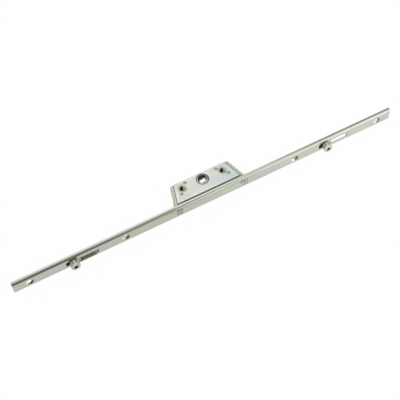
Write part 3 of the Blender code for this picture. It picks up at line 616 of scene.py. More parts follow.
@dataclass(frozen=True)
class HubSteel(PlatedSteel):
    """Steel of the follower: a pale turned ring painted darker towards the back right, a painted dark ring round
    its edge, and painted shade in the square with a painted floor reflection low on its walls.
    """

    ring: Colour = (0.60, 0.59, 0.52)
    # The dark colour of the painted shade round the hub and in the square.
    depth_shade: Colour = (0.018, 0.016, 0.012)
    shaded: Colour = (0.20, 0.17, 0.13)
    # mouth: the pale colour of the painted floor reflection low in the square
    mouth: Colour = (0.96, 0.95, 0.93)
    outer_edge: Pair = (0.0054, 0.0057)
    ring_band: Band = (0.0048, 0.0054, 0.0002)
    ring_height: Pair = (0.0037, 0.0040)
    ring_turn: Pair = (-0.005, 0.005)
    square: Pair = (0.0045, 0.0048)
    sink: Pair = (0.0051, 0.0054)
    sink_height: Pair = (0.0036, 0.0040)
    wall_turn: Pair = (0.0005, 0.0045)
    mouth_height: Pair = (-0.0025, -0.0018)

    def marks(self, coat: Coat) -> None:
        """Paint shade, light and a floor reflection on the hub by its distance from the spindle's axis.

        Args:
            coat: The follower's coat.
        """
        shader, x, y, z = coat.shader, coat.x, coat.y - SPINDLE_Y, coat.z
        radius = (x * x + y * y) ** 0.5
        # Painted shade: a dark ring round the hub's outer edge.
        coat.paint(radius.ramp(*self.outer_edge) * 0.95, self.depth_shade)
        # The pale turned ring, painted darker towards the back right as shade.
        ring = shader.blend((x + y).ramp(*self.ring_turn), self.ring, scaled(self.ring, 0.45))
        coat.paint(radius.within(*self.ring_band) * z.ramp(*self.ring_height), ring)
        square = 1.0 - radius.ramp(*self.square)
        sink = (1.0 - z.ramp(*self.sink_height)) * (1.0 - radius.ramp(*self.sink))
        # Painted shade in the square, deeper on one side, with a painted floor reflection low on its walls.
        shade = shader.blend((x - y).ramp(*self.wall_turn), self.depth_shade, self.shaded)
        shade = shader.blend(1.0 - (z - 0.49 * x).ramp(*self.mouth_height), shade, self.mouth)
        coat.paint(square + (1.0 - square) * sink, shade)


@dataclass(frozen=True)
class RodPlating(PlatedSteel):
    """Plating of the drive rod, with painted shade along the lower half of its left end, in the left slot."""

    # The colour of the painted shade on the rod's face in the left slot.
    slot_shade: Colour = (0.20, 0.205, 0.15)
    slot_shade_core: Band = (-0.0028, -0.0020, 0.0003)
    slot_shade_edge: Band = (-0.0019, -0.0016, 0.0008)
    slot_shade_end: Pair = (-0.1212, -0.1198)
    face_only: Pair = (0.0016, 0.0018)

    def marks(self, coat: Coat) -> None:
        """Paint shade on the lower half of the rod's face at its left end."""
        # Painted shade: the lower half of the rod's face, from its left end to the left slot's right end.
        in_slot_shade = (coat.z.within(*self.slot_shade_core) + coat.z.within(*self.slot_shade_edge)).at_most(1.0)
        coat.paint(in_slot_shade * (1.0 - coat.x.ramp(*self.slot_shade_end)) * (1.0 - coat.y.ramp(*self.face_only)), self.slot_shade)


@dataclass(frozen=True)
class CamPlating(PlatedSteel):
    """Plating of a cam: grey head, warm neck with painted shade on its top and left and in its grooves, and a
    socket painted nearly black as shade.
    """

    centre: float = 0.0
    head: Colour = (0.57, 0.56, 0.515)
    # groove: the dark colour of the painted shade on the neck and in its grooves
    groove: Colour = (0.17, 0.145, 0.09)
    # socket: the near black of the painted shade in the hexagon socket
    socket: Colour = (0.010, 0.010, 0.007)
    top_shade: float = 0.55
    left_shade: float = 0.10
    depth: float = 0.90
    top: Pair = (0.0015, 0.0038)
    left: Pair = (0.0, 0.0035)
    groove_floor: Pair = (0.0036, 0.00415)
    head_back: Pair = (0.0041, 0.0047)
    socket_wall: Pair = (0.0021, 0.0025)
    socket_mouth: Pair = (0.0061, 0.0064)

    def marks(self, coat: Coat) -> None:
        """Paint shade on the neck, in the grooves and in the socket, and colour the head.

        Args:
            coat: The cam's coat.
        """
        across, outward = coat.x - self.centre, -1.0 * coat.y
        radius = (across * across + coat.z * coat.z) ** 0.5
        rootward = 0.75 + 0.25 * (1.0 - outward * 400.0).at_least(0.0).at_most(1.0)
        # Painted shade on the neck's top and its left side.
        coat.paint(coat.z.ramp(*self.top) * self.top_shade + (-1.0 * across).ramp(*self.left) * self.left_shade,
                   self.groove)
        # Painted shade in the grooves, deeper towards the root.
        coat.paint((1.0 - radius.ramp(*self.groove_floor)) * rootward * self.depth, self.groove)
        coat.paint(outward.ramp(*self.head_back), self.head)
        # Painted shade: the socket nearly black.
        coat.paint((1.0 - radius.ramp(*self.socket_wall)) * (1.0 - outward.ramp(*self.socket_mouth)), self.socket)


@dataclass(frozen=True)
class MouldedNylon:
    """Black nylon with a faint moulded skin; its near-black tint is also painted shade for the dark pocket left of
    each cam.
    """

    name: str
    tint: Colour = (0.004, 0.004, 0.003)
    skin_scale: float = 1500.0
    cloud_scale: float = 300.0

    def make(self) -> Material:
        """Build the material.

        Returns:
            The finished material.
        """
        material, shader = new_material(self.name)
        place = shader.place()
        skin = shader.noise(place, self.skin_scale)
        relief = {"Strength": 0.25, "Distance": 0.00002, "Height": skin}
        shader.surface({
            "Base Color": shader.blend(shader.noise(place, self.cloud_scale), self.tint, scaled(self.tint, 1.6)),
            "Roughness": 0.55 + 0.15 * skin,
            "Specular IOR Level": 0.12,
            "Normal": shader.node("ShaderNodeBump", inputs=relief),
        })
        return material


FINISHES = (
    RailPlating("rail_zinc", (0.485, 0.490, 0.400), (0.52, 0.50, 0.40), (0.49, 0.55, 0.505), 0.21, Grain.ALONG_X),
    CoverPlating("cover_zinc", (0.675, 0.685, 0.625), (0.695, 0.69, 0.60), (0.585, 0.665, 0.655), 0.26,
                 Grain.ALONG_X),
    CasePlating("case_zinc", (0.53, 0.51, 0.42), (0.52, 0.48, 0.39), (0.52, 0.53, 0.46), 0.30, Grain.ALONG_Y),
    SleevePlating("sleeve_zinc", (0.60, 0.59, 0.51), (0.60, 0.56, 0.47), (0.59, 0.61, 0.55), 0.30, Grain.NONE),
    RodPlating("rod_zinc", (0.58, 0.60, 0.50), (0.58, 0.56, 0.46), (0.55, 0.60, 0.53), 0.50, Grain.ALONG_X, 0.4),
    PlatedSteel("block_zinc", (0.52, 0.52, 0.44), (0.54, 0.50, 0.40), (0.50, 0.54, 0.49), 0.26, Grain.ALONG_X),
    # The two cams are one part in two places: the left is painted lighter than the right, and each has its own
    # painted shade, as lit and shaded copies of one plating.
    CamPlating("cam_left_zinc", (0.88, 0.83, 0.67), (0.88, 0.78, 0.60), (0.84, 0.82, 0.70), 0.32, Grain.NONE, 0.25,
               centre=CAM_HEADS[0], head=(0.525, 0.52, 0.48)),
    CamPlating("cam_right_zinc", (0.76, 0.75, 0.62), (0.78, 0.73, 0.58), (0.73, 0.74, 0.65), 0.32, Grain.NONE, 0.30,
               centre=CAM_HEADS[1], head=(0.62, 0.615, 0.58), top_shade=0.25, left_shade=0.45),
    PlatedSteel("rivet_zinc", (0.325, 0.325, 0.295), (0.33, 0.305, 0.265), (0.30, 0.33, 0.32), 0.40, Grain.NONE),
    HubSteel("gear_steel", (0.16, 0.15, 0.13), (0.15, 0.13, 0.11), (0.15, 0.16, 0.15), 0.34, Grain.NONE),
    MouldedNylon("glide_nylon"),
)


class Along(Enum):
    """Which way a bar runs, with the angle that lays it there."""

    Y = ((0.0, 1.0, 0.0), -math.pi / 2)
    Z = ((0.0, 0.0, 1.0), 0.0)


class Element(Enum):
    """Kinds of mesh element, with where a mesh keeps them."""

    VERT = "verts"
    EDGE = "edges"
    FACE = "faces"


class Joining(Enum):
    """What one shape does to another, in the Boolean modifier's words."""

    CUT = "DIFFERENCE"
    WELD = "UNION"


class Bench:
    """The workbench: modelling operators, each started from a clean selection."""

    @staticmethod
    def clear() -> None:
        """Leave edit mode and deselect everything."""
        if bpy.context.mode != "OBJECT":
            bpy.ops.object.mode_set(mode="OBJECT")
        bpy.ops.object.select_all(action="DESELECT")

    @staticmethod
    def take(name: str) -> Piece:
        """Name the object just added and apply its place.

        Args:
            name: The piece's name.

        Returns:
            The piece.
        """
        piece = bpy.context.active_object
        piece.name = name
        piece.data.name = name
        bpy.ops.object.transform_apply(location=True, rotation=True, scale=True)
        return piece

    @staticmethod
    def hold(piece: Piece) -> None:
        """Select one piece and make it active.

        Args:
            piece: The piece.
        """
        Bench.clear()
        piece.select_set(True)
        bpy.context.view_layer.objects.active = piece

    @staticmethod
    def block(name: str, low: Point, high: Point) -> Piece:
        """Add a box.

        Args:
            name: The piece's name.
            low: Its lowest corner.
            high: Its highest corner.

        Returns:
            The box.
        """
        Bench.clear()
        middle = [(a + b) / 2 for a, b in zip(low, high)]
        bpy.ops.mesh.primitive_cube_add(size=1.0, location=middle, scale=[b - a for a, b in zip(low, high)])
        return Bench.take(name)

    @staticmethod
    def bar(name: str, radius: float, foot: Point, along: Along, length: float, sides: int,
            tip: float | None = None) -> Piece:
        """Add a round or many-sided bar, or a cone.

        Args:
            name: The piece's name.
            radius: Its radius at the foot.
            foot: Centre of the end with the lower coordinate.
            along: Which way it runs.
            length: Its length.
            sides: Its number of sides.
            tip: Its radius at the other end, where that differs.

        Returns:
            The bar.
        """
        Bench.clear()
        direction, angle = along.value
        bpy.ops.mesh.primitive_cone_add(vertices=sides, radius1=radius, radius2=radius if tip is None else tip,
                                        depth=length, location=Vector(foot) + Vector(direction) * length / 2,
                                        rotation=(angle, 0.0, 0.0))
        return Bench.take(name)

    @staticmethod
    def wedge(name: str, front: Pair, back: Pair, low: float, high: float) -> Piece:
        """Add a block that narrows towards its back.

        Args:
            name: The piece's name.
            front: Half width and place of its front.
            back: Half width and place of its back.
            low: Its underside.
            high: Its top.

        Returns:
            The wedge.
        """
        piece = Bench.block(name, (-front[0], front[1], low), (front[0], back[1], high))
        Bench.pick(piece, Element.VERT, lambda v: v.co.y > (front[1] + back[1]) / 2)
        bpy.ops.transform.resize(value=(back[0] / front[0], 1.0, 1.0), center_override=(0.0, back[1], 0.0))
        Bench.clear()
        return piece

    @staticmethod
    def turn(name: str, centre: Pair, rings: Sequence[Pair], sides: int, hollow: bool) -> Piece:
        """Turn an upright piece from a circle that is drawn out ring by ring.

        Args:
            name: The piece's name.
            centre: Its axis.
            rings: Radius and height of each ring, in order.
            sides: Its number of sides.
            hollow: Whether the last ring joins the first.

        Returns:
            The piece.
        """
        Bench.clear()
        bpy.ops.mesh.primitive_circle_add(vertices=sides, radius=rings[0][0], location=(*centre, rings[0][1]),
                                          fill_type="NOTHING" if hollow else "NGON")
        piece = Bench.take(name)
        Bench.pick(piece, Element.EDGE)
        for (radius, level), (wider, higher) in zip(rings, rings[1:]):
            bpy.ops.mesh.extrude_edges_move(TRANSFORM_OT_translate={"value": (0.0, 0.0, higher - level)})
            scale = wider / radius
            bpy.ops.transform.resize(value=(scale, scale, 1.0), center_override=(*centre, higher))
        if hollow:
            Bench.pick(piece, Element.EDGE, lambda e: len(e.link_faces) == 1)
            bpy.ops.mesh.bridge_edge_loops()
        else:
            bpy.ops.mesh.edge_face_add()
        Bench.pick(piece, Element.FACE)
        bpy.ops.mesh.normals_make_consistent(inside=False)
        Bench.clear()
        return piece

    @staticmethod
    def pick(piece: Piece, kind: Element, test: Callable[[object], bool] = lambda element: True) -> int:
        """Enter edit mode with only some elements selected.

        Args:
            piece: The piece.
            kind: What is selected.
            test: Says which elements are wanted; without it, all are.

        Returns:
            How many elements were found.
        """
        Bench.hold(piece)
        bpy.ops.object.mode_set(mode="EDIT")
        bpy.ops.mesh.select_mode(type=kind.name)
        bpy.ops.mesh.select_all(action="DESELECT")
        mesh = bmesh.from_edit_mesh(piece.data)
        chosen = [element for element in getattr(mesh, kind.value) if test(element)]
        for element in chosen:
            element.select_set(True)
        mesh.select_flush_mode()
        bmesh.update_edit_mesh(piece.data)
        return len(chosen)

    @staticmethod
    def chamfer(piece: Piece, width: float, segments: int,
                test: Callable[[object], bool] = lambda edge: True) -> None:
        """Bevel the edges that pass a test.

        Args:
            piece: The piece.
            width: Width of the bevel.
            segments: Its segments.
            test: Says which edges are wanted; without it, all are.
        """
        if Bench.pick(piece, Element.EDGE, test):
            bpy.ops.mesh.bevel(offset=width, segments=segments, affect="EDGES", clamp_overlap=True)
        Bench.clear()

    @staticmethod
    def cut(piece: Piece, tool: Piece) -> None:
        """Take another shape away from a piece."""
        Bench.combine(piece, tool, Joining.CUT)

    @staticmethod
    def weld(piece: Piece, tool: Piece) -> None:
        """Join another shape to a piece."""
        Bench.combine(piece, tool, Joining.WELD)

    @staticmethod
    def combine(piece: Piece, tool: Piece, joining: Joining) -> None:
        """Cut or join another shape and remove it.

        Args:
            piece: The piece.
            tool: The other shape.
            joining: Which of the two.
        """
        step = piece.modifiers.new("Join", "BOOLEAN")
        step.operation = joining.value
        step.solver = "EXACT"
        step.object = tool
        Bench.hold(piece)
        bpy.ops.object.modifier_apply(modifier=step.name)
        bpy.data.objects.remove(tool)

    @staticmethod
    def smooth(piece: Piece, degrees: float = 32.0) -> None:
        """Shade a piece smooth, and keep its sharp edges.

        Args:
            piece: The piece.
            degrees: The angle from which an edge is sharp.
        """
        Bench.hold(piece)
        bpy.ops.object.shade_smooth_by_angle(angle=math.radians(degrees))
        Bench.clear()


def dress(piece: Piece, material: Material, body: str, slot: str, *nodes: str) -> None:
    """Give a piece its material and body, and hide the nodes it stands for.

    Args:
        piece: The piece.
        material: Its finish.
        body: The CAD body it moves with.
        slot: Not used.
        nodes: CAD nodes that it replaces.
    """
    piece.data.materials.clear()
    piece.data.materials.append(material)
    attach(piece, body)
    if nodes:
        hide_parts(*nodes)
    LOG.info("made %s with %d faces", piece.name, len(piece.data.polygons))


def is_rim(edge: Edge, axis: int, level: float) -> bool:
    """Whether an edge lies in the plane across an axis, 0 to 2, and turns a corner there."""
    flat = all(abs(vert.co[axis] - level) < FINE for vert in edge.verts)
    return flat and len(edge.link_faces) == 2 and edge.calc_face_angle(0.0) > CORNER


@dataclass
class FaceplateRail:
    """The roll-formed channel with its slots, windows and countersunk holes."""

    length: float = 0.400
    width: float = 0.0159998
    depth: float = 0.0032
    wall: float = 0.0012
    bend: float = 0.003
    bend_steps: int = 14
    slot_x: float = 0.1334
    slot: Pair = (0.03197, 0.006)
    slot_corner: float = 0.0012
    window: Pair = (0.0061, 0.0072)
    punch: Pair = (-0.002, 0.0025)
    hole_radius: float = 0.0022
    hole_punch: Pair = (0.0001, 0.003)
    sink_radius: float = 0.0035
    sink_depth: float = 0.0010
    round_sides: int = 48
    rim: float = 0.00022

    def skin(self) -> Piece:
        """Bend the channel from a flat strip.

        Returns:
            The channel, without its holes.
        """
        flat = self.width - 2 * self.bend
        Bench.clear()
        bpy.ops.mesh.primitive_plane_add(size=1.0, rotation=(math.pi / 2, 0.0, 0.0))
        piece = Bench.take("faceplate")
        Bench.pick(piece, Element.VERT)
        bpy.ops.transform.resize(value=(self.length, 1.0, flat), center_override=(0.0, 0.0, 0.0))
        for side in SIDES:
            edge = side * flat / 2
            Bench.pick(piece, Element.EDGE, lambda e: all(abs(v.co.z - edge) < FINE for v in e.verts))
            bpy.ops.mesh.spin(steps=self.bend_steps, angle=side * math.pi / 2, axis=(1.0, 0.0, 0.0),
                              center=(0.0, self.bend, edge))
            Bench.pick(piece, Element.EDGE, lambda e: self.is_lip(e, side))
            lift = (0.0, self.depth - self.bend, 0.0)
            bpy.ops.mesh.extrude_region_move(TRANSFORM_OT_translate={"value": lift})
        Bench.pick(piece, Element.FACE)
        bpy.ops.mesh.remove_doubles(threshold=FINE)
        bpy.ops.mesh.normals_make_consistent(inside=False)
        Bench.clear()
        if min(piece.data.polygons, key=lambda f: f.center.y).normal.y > 0.0:
            Bench.pick(piece, Element.FACE)
            bpy.ops.mesh.flip_normals()
            Bench.clear()
        shell = piece.modifiers.new("Wall", "SOLIDIFY")
        shell.thickness = self.wall
        shell.offset = -1.0
        shell.use_even_offset = True
        Bench.hold(piece)
        bpy.ops.object.modifier_apply(modifier=shell.name)
        return piece

    def is_lip(self, edge: Edge, side: int) -> bool:
        """Whether an edge is the long free edge of a bend.

        Args:
            edge: The edge.
            side: The bend, -1 below or 1 above.

        Returns:
            True for the edge that the lip is drawn from.
        """
        ends = [v.co for v in edge.verts]
        level = all(abs(end.y - self.bend) < 10 * FINE and side * end.z > 0 for end in ends)
        return level and abs(ends[0].x - ends[1].x) > self.length / 4

    def window_tool(self, middle: float, size: Pair) -> Piece:
        """A square punch of a length and height for an opening in the face."""
        half, high = size[0] / 2, size[1] / 2
        return Bench.block("punch", (middle - half, self.punch[0], -high), (middle + half, self.punch[1], high))

    def drill(self, piece: Piece, middle: float) -> None:
        """Make one countersunk hole.

        Args:
            piece: The rail.
            middle: The hole's place along the rail.
        """
        slope = (self.sink_radius - self.hole_radius) / self.sink_depth
        Bench.cut(piece, Bench.bar("sink", self.sink_radius + slope * OVER, (middle, -OVER, 0.0), Along.Y,
                                   self.sink_depth + OVER, self.round_sides, self.hole_radius))
        start, length = self.hole_punch
        Bench.cut(piece, Bench.bar("hole", self.hole_radius, (middle, start, 0.0), Along.Y, length,
                                   self.round_sides))

    def build(self, material: Material) -> Piece:
        """Make the rail.

        Args:
            material: Its plating.

        Returns:
            The rail.
        """
        piece = self.skin()
        for side in SIDES:
            slot = self.window_tool(side * self.slot_x, self.slot)
            Bench.chamfer(slot, self.slot_corner, 6,
                          lambda e: abs(e.verts[0].co.y - e.verts[1].co.y) > self.slot[1] / 2)
            Bench.cut(piece, slot)
            Bench.cut(piece, self.window_tool(side * WINDOW_X, self.window))
            for hole in HOLES:
                self.drill(piece, side * hole)
        inner = self.length / 2 - 1e-4
        Bench.chamfer(piece, self.rim, 2, lambda e: is_rim(e, 1, 0.0) and abs(e.verts[0].co.x) < inner)
        Bench.smooth(piece)
        dress(piece, material, "case", "rail_zinc", "faceplate_rail")
        return piece


@dataclass
class CoverPlate:
    """The pressed cover: raised dish rims round the handle screws, rivet dimples and a softened edge."""

    top: float = 0.0042
    thickness: float = 0.0012
    front: Pair = (0.033316, 0.0063)
    back: Pair = (0.027313, 0.0274)
    hub_hole: float = 0.0063
    screw_hole: float = 0.0034
    dish: float = 0.00445
    rivet_hole: float = 0.00155
    rivet_sink: float = 0.00178
    rivet_depth: float = 0.0005
    edge: float = 0.00018

    def punch(self, piece: Piece, radius: float, x: float, y: float, sides: int,
              widening: float = 0.0) -> None:
        """Cut a hole right through the plate.

        Args:
            piece: The cover.
            radius: The hole's radius at the underside.
            x: Its place across.
            y: Its place in depth.
            sides: Its number of sides.
            widening: How much its radius grows with height.
        """
        low = self.top - self.thickness - OVER
        tip = radius + widening * self.thickness + widening * OVER
        Bench.cut(piece, Bench.bar("punch", radius - widening * OVER, (x, y, low), Along.Z,
                                   self.thickness + 2 * OVER, sides, tip))

    def build(self, material: Material) -> Piece:
        """Make the cover.

        Args:
            material: Its plating.

        Returns:
            The cover.
        """
        piece = Bench.wedge("cover", self.front, self.back, self.top - self.thickness, self.top)
        self.punch(piece, self.hub_hole, 0.0, SPINDLE_Y, 96)
        slope = (self.dish - self.screw_hole) / self.thickness
        steep = (self.rivet_sink - self.rivet_hole) / self.rivet_depth
        for side in SIDES:
            self.punch(piece, self.screw_hole, side * SCREW_X, SPINDLE_Y, 64, slope)
            for x, y in RIVETS:
                self.punch(piece, self.rivet_hole, side * x, y, 32)
                sink = Bench.bar("sink", self.rivet_hole, (side * x, y, self.top - self.rivet_depth), Along.Z,
                                 self.rivet_depth + OVER, 32, self.rivet_sink + steep * OVER)
                Bench.cut(piece, sink)
        Bench.chamfer(piece, self.edge, 3, lambda e: is_rim(e, 2, self.top))
        Bench.smooth(piece)
        dress(piece, material, "case", "cover_zinc", "cover_plate")
        return piece


@dataclass
class CaseBody:
    """The die-cast case: rounded end walls, floor, bosses and the two staked tenons."""

    front: Pair = (0.0376, 0.0035)
    back: Pair = (0.0308, 0.0274)
    low: float = -0.0048
    high: float = 0.0042
    floor: float = -0.0034
    rounding: float = 0.0009
    end_wall: float = 0.0029
    back_wall: float = 0.0010
    foot_back: float = 0.0057
    foot_inner: float = 0.0307
    recess_inset: float = 0.00315
    recess_step: float = 0.0005
    seat: float = 0.0027
    hub_hole: float = 0.0063
    hub_depth: float = 0.004
    pillar: Pair = (0.0045, 0.0034)
    pillar_root: float = 0.0005
    boss: Pair = (0.0026, 0.00155)
    boss_root: float = 0.00025
    boss_rise: float = 0.00075
    hole_depth: float = 0.012
    rim: float = 0.0003
    tenon_front: float = 0.00015
    tenon_half: float = 0.003
    tenon_step: float = 0.00015
    neck_front: float = 0.0007
    neck_back: float = 0.0050
    neck_half: float = 0.0023
    head_back: float = 0.0012
    head_half: float = 0.0033
    head_round: float = 0.00035

    def wedge(self, name: str, inset: float, front: float, back: float, low: float) -> Piece:
        """A block with the case's slanted ends, moved in.

        Args:
            name: Its name.
            inset: How far its ends are moved in.
            front: Its front.
            back: Its back.
            low: Its underside; it reaches above the case.

        Returns:
            The block.
        """
        slope = (self.front[0] - self.back[0]) / (self.back[1] - self.front[1])
        inward = inset * math.hypot(1.0, slope)
        near, far = (self.front[0] - slope * (y - self.front[1]) - inward for y in (front, back))
        return Bench.wedge(name, (near, front), (far, back), low, self.high + 2 * OVER)

    def shell(self) -> Piece:
        """The hollow case, without its bosses.

        Returns:
            The shell.
        """
        piece = Bench.wedge("case_body", self.front, self.back, self.low, self.high)
        Bench.chamfer(piece, self.rounding, 5)
        inner = self.back[1] - self.back_wall
        Bench.cut(piece, self.wedge("cavity", self.end_wall, self.foot_back, inner, self.floor))
        Bench.cut(piece, Bench.block("mouth", (-self.foot_inner, self.front[1] - 2 * OVER, self.floor),
                                     (self.foot_inner, self.foot_back + 2 * OVER, self.high + 2 * OVER)))
        return piece

    def build(self, material: Material) -> Piece:
        """Make the case.

        Args:
            material: Its plating.

        Returns:
            The case.
        """
        piece = self.shell()
        for side in SIDES:
            foot = (side * SCREW_X, SPINDLE_Y, self.floor - self.pillar_root)
            Bench.weld(piece, Bench.bar("pillar", self.pillar[0], foot, Along.Z, self.high - self.floor, 44))
            for x, y in RIVETS:
                foot = (side * x, y, self.floor - self.boss_root)
                Bench.weld(piece, Bench.bar("boss", self.boss[0], foot, Along.Z,
                                            self.seat - self.floor + self.boss_rise, 32))
        Bench.cut(piece, self.wedge("recess", self.recess_inset, self.foot_back + self.recess_step,
                                    self.back[1] + 2 * OVER, self.seat))
        for side in SIDES:
            self.stake(piece, side * WINDOW_X)
            self.bore(piece, self.pillar[1], side * SCREW_X, SPINDLE_Y, self.hole_depth, 44)
            for x, y in RIVETS:
                self.bore(piece, self.boss[1], side * x, y, self.hole_depth, 44)
        self.bore(piece, self.hub_hole, 0.0, SPINDLE_Y, self.hub_depth, 64)
        Bench.chamfer(piece, self.rim, 3, lambda e: is_rim(e, 2, self.high))
        Bench.smooth(piece, 35.0)
        dress(piece, material, "case", "case_zinc", "gearbox_body")
        return piece

    def bore(self, piece: Piece, radius: float, x: float, y: float, depth: float, sides: int) -> None:
        """Drill a hole from below, to a depth."""
        Bench.cut(piece, Bench.bar("hole", radius, (x, y, self.low - OVER), Along.Z, depth, sides))

    def stake(self, piece: Piece, middle: float) -> None:
        """Add one T-shaped tenon with a softened head.

        Args:
            piece: The case.
            middle: The tenon's place along the rail.
        """
        half = self.tenon_half
        waist = half - self.tenon_step
        neck = Bench.block("neck", (middle - waist, self.neck_front, -self.neck_half),
                           (middle + waist, self.neck_back, self.neck_half))
        head = Bench.block("head", (middle - half, self.tenon_front, -self.head_half),
                           (middle + half, self.head_back, self.head_half))
        Bench.chamfer(head, self.head_round, 3, lambda e: is_rim(e, 1, self.tenon_front))
        Bench.weld(head, neck)
        Bench.weld(piece, head)


@dataclass
class ScrewSleeve:
    """A flared tube for a handle screw, with a rounded rim."""

    suffix: str
    centre: Pair
    top: float = 0.00405
    bottom: float = -0.00465
    outer: float = 0.0031
    bore: float = 0.0025
    flare: float = 0.0040
    flare_depth: float = 0.0010
    step: float = 0.00012

    def build(self, material: Material) -> Piece:
        """Make the sleeve.

        Args:
            material: Its plating.

        Returns:
            The sleeve.
        """
        step = self.step
        rings = ((self.outer, self.bottom), (self.outer, self.top - self.flare_depth),
                 (self.flare, self.top - step), (self.flare - step, self.top),
                 (self.flare - 3.5 * step, self.top), (self.flare - 5 * step, self.top - step),
                 (self.bore, self.top - self.flare_depth), (self.bore, self.bottom))
        piece = Bench.turn("sleeve_" + self.suffix, self.centre, rings, 64, True)
        Bench.smooth(piece, 50.0)
        dress(piece, material, "case", "case_zinc", "screw_sleeve_" + self.suffix)
        return piece


@dataclass
class CoverRivets:
    """Four countersunk rivets, turned once and copied."""

    top: float = 0.00405
    bottom: float = -0.00465
    shank: float = 0.00125
    head: float = 0.00165
    head_depth: float = 0.0005
    rim: Pair = (0.0001, 0.00004)
    edge: float = 0.00012
    dimple: float = 0.00003

    def build(self, material: Material) -> list[Piece]:
        """Make the rivets.

        Args:
            material: Their plating.

        Returns:
            The four rivets.
        """
        rings = ((self.shank, self.bottom), (self.shank, self.top - self.head_depth),
                 (self.head, self.top - self.edge), (self.head - self.rim[0], self.top - self.rim[1]),
                 (self.head * 0.7, self.top), (self.head * 0.2, self.top - self.dimple))
        first = Bench.turn("rivet_1", (0.0, 0.0), rings, 32, False)
        Bench.smooth(first, 50.0)
        places = [(side * x, y) for side in SIDES for x, y in RIVETS]
        pieces = [first]
        for number in range(2, len(places) + 1):
            piece = first.copy()
            piece.data = first.data.copy()
            piece.name = f"rivet_{number}"
            bpy.context.scene.collection.objects.link(piece)
            pieces.append(piece)
        for number, (piece, (x, y)) in enumerate(zip(pieces, places), 1):
            Bench.pick(piece, Element.VERT)
            bpy.ops.transform.translate(value=(x, y, 0.0))
            Bench.clear()
            dress(piece, material, "case", "rivet_steel", f"cover_rivet_{number}")
        return pieces


@dataclass
class MushroomCam:
    """A turned cam: a domed head with a hexagon socket and a neck with rounded flutes."""

    suffix: str
    head_x: float
    shank_x: float
    head_radius: float = 0.0045
    height: float = 0.0065
    head_thickness: float = 0.0022
    head_round: float = 0.00065
    back_round: float = 0.0003
    neck_radius: float = 0.0038
    neck_end: float = 0.0003
    collar: Pair = (0.0002, 0.0038)
    lobe: float = 0.00045
    flutes: int = 8
    groove: Pair = (0.0002, 0.005)
    groove_radius: float = 0.00075
    socket: float = 0.002
    socket_depth: float = 0.003
    socket_rim: float = 0.00022
    shank_radius: float = 0.0017
    shank_start: float = 0.0006
    shank_end: float = 0.0045
    peen_radius: float = 0.0026
    peen_thickness: float = 0.0005
    peen_round: float = 0.0002
    round_sides: int = 48

    def build(self, material: Material) -> Piece:
        """Make the cam.

        Args:
            material: Its plating.

        Returns:
            The cam.
        """
        piece = self.turned_head()
        self.cut_flutes(piece)
        Bench.cut(piece, Bench.bar("hexagon", self.socket / math.cos(math.pi / 6),
                                   (self.head_x, -self.height - OVER, 0.0), Along.Y, self.socket_depth + OVER, 6))
        Bench.chamfer(piece, self.socket_rim, 2, lambda e: is_rim(e, 1, -self.height))
        Bench.weld(piece, Bench.bar("shank", self.shank_radius, (self.shank_x, -self.shank_start, 0.0), Along.Y,
                                    self.shank_end + self.shank_start, self.round_sides))
        peen = Bench.bar("peen", self.peen_radius, (self.shank_x, self.shank_end, 0.0), Along.Y,
                         self.peen_thickness, self.round_sides)
        Bench.chamfer(peen, self.peen_round, 3, lambda e: is_rim(e, 1, self.shank_end + self.peen_thickness))
        Bench.weld(piece, peen)
        Bench.smooth(piece, 38.0)
        dress(piece, material, "cam_" + self.suffix, "cam_steel", "cam_" + self.suffix)
        return piece

    def turned_head(self) -> Piece:
        """Turn the head and draw the neck from its back.

        Returns:
            The cam, without its flutes, socket and shank.
        """
        head_back = self.head_thickness - self.height
        piece = Bench.bar("cam_body_" + self.suffix, self.head_radius, (self.head_x, -self.height, 0.0), Along.Y,
                          self.head_thickness, 96)
        Bench.chamfer(piece, self.head_round, 5, lambda e: is_rim(e, 1, -self.height))
        Bench.chamfer(piece, self.back_round, 3, lambda e: is_rim(e, 1, head_back))
        Bench.pick(piece, Element.FACE,
                   lambda f: f.normal.y > 0.99 and abs(f.calc_center_median().y - head_back) < FINE)
        bpy.ops.mesh.inset(thickness=self.head_radius - self.back_round - self.neck_radius, depth=0.0)
        length = (0.0, -head_back - self.neck_end, 0.0)
        bpy.ops.mesh.extrude_region_move(TRANSFORM_OT_translate={"value": length})
        Bench.clear()
        return piece

    def cut_flutes(self, piece: Piece) -> None:
        """Mill the grooves between the neck's ribs.

        Args:
            piece: The cam.
        """
        head_back = self.head_thickness - self.height
        reach = self.neck_radius + self.lobe
        before, length = self.collar
        Bench.weld(piece, Bench.bar("collar", reach, (self.head_x, head_back - before, 0.0), Along.Y, length, 90))
        after, length = self.groove
        for index in range(self.flutes):
            turn = 2 * math.pi * (index + 0.5) / self.flutes
            place = (self.head_x + reach * math.cos(turn), head_back + after, reach * math.sin(turn))
            Bench.cut(piece, Bench.bar("groove", self.groove_radius, place, Along.Y, length, 16))


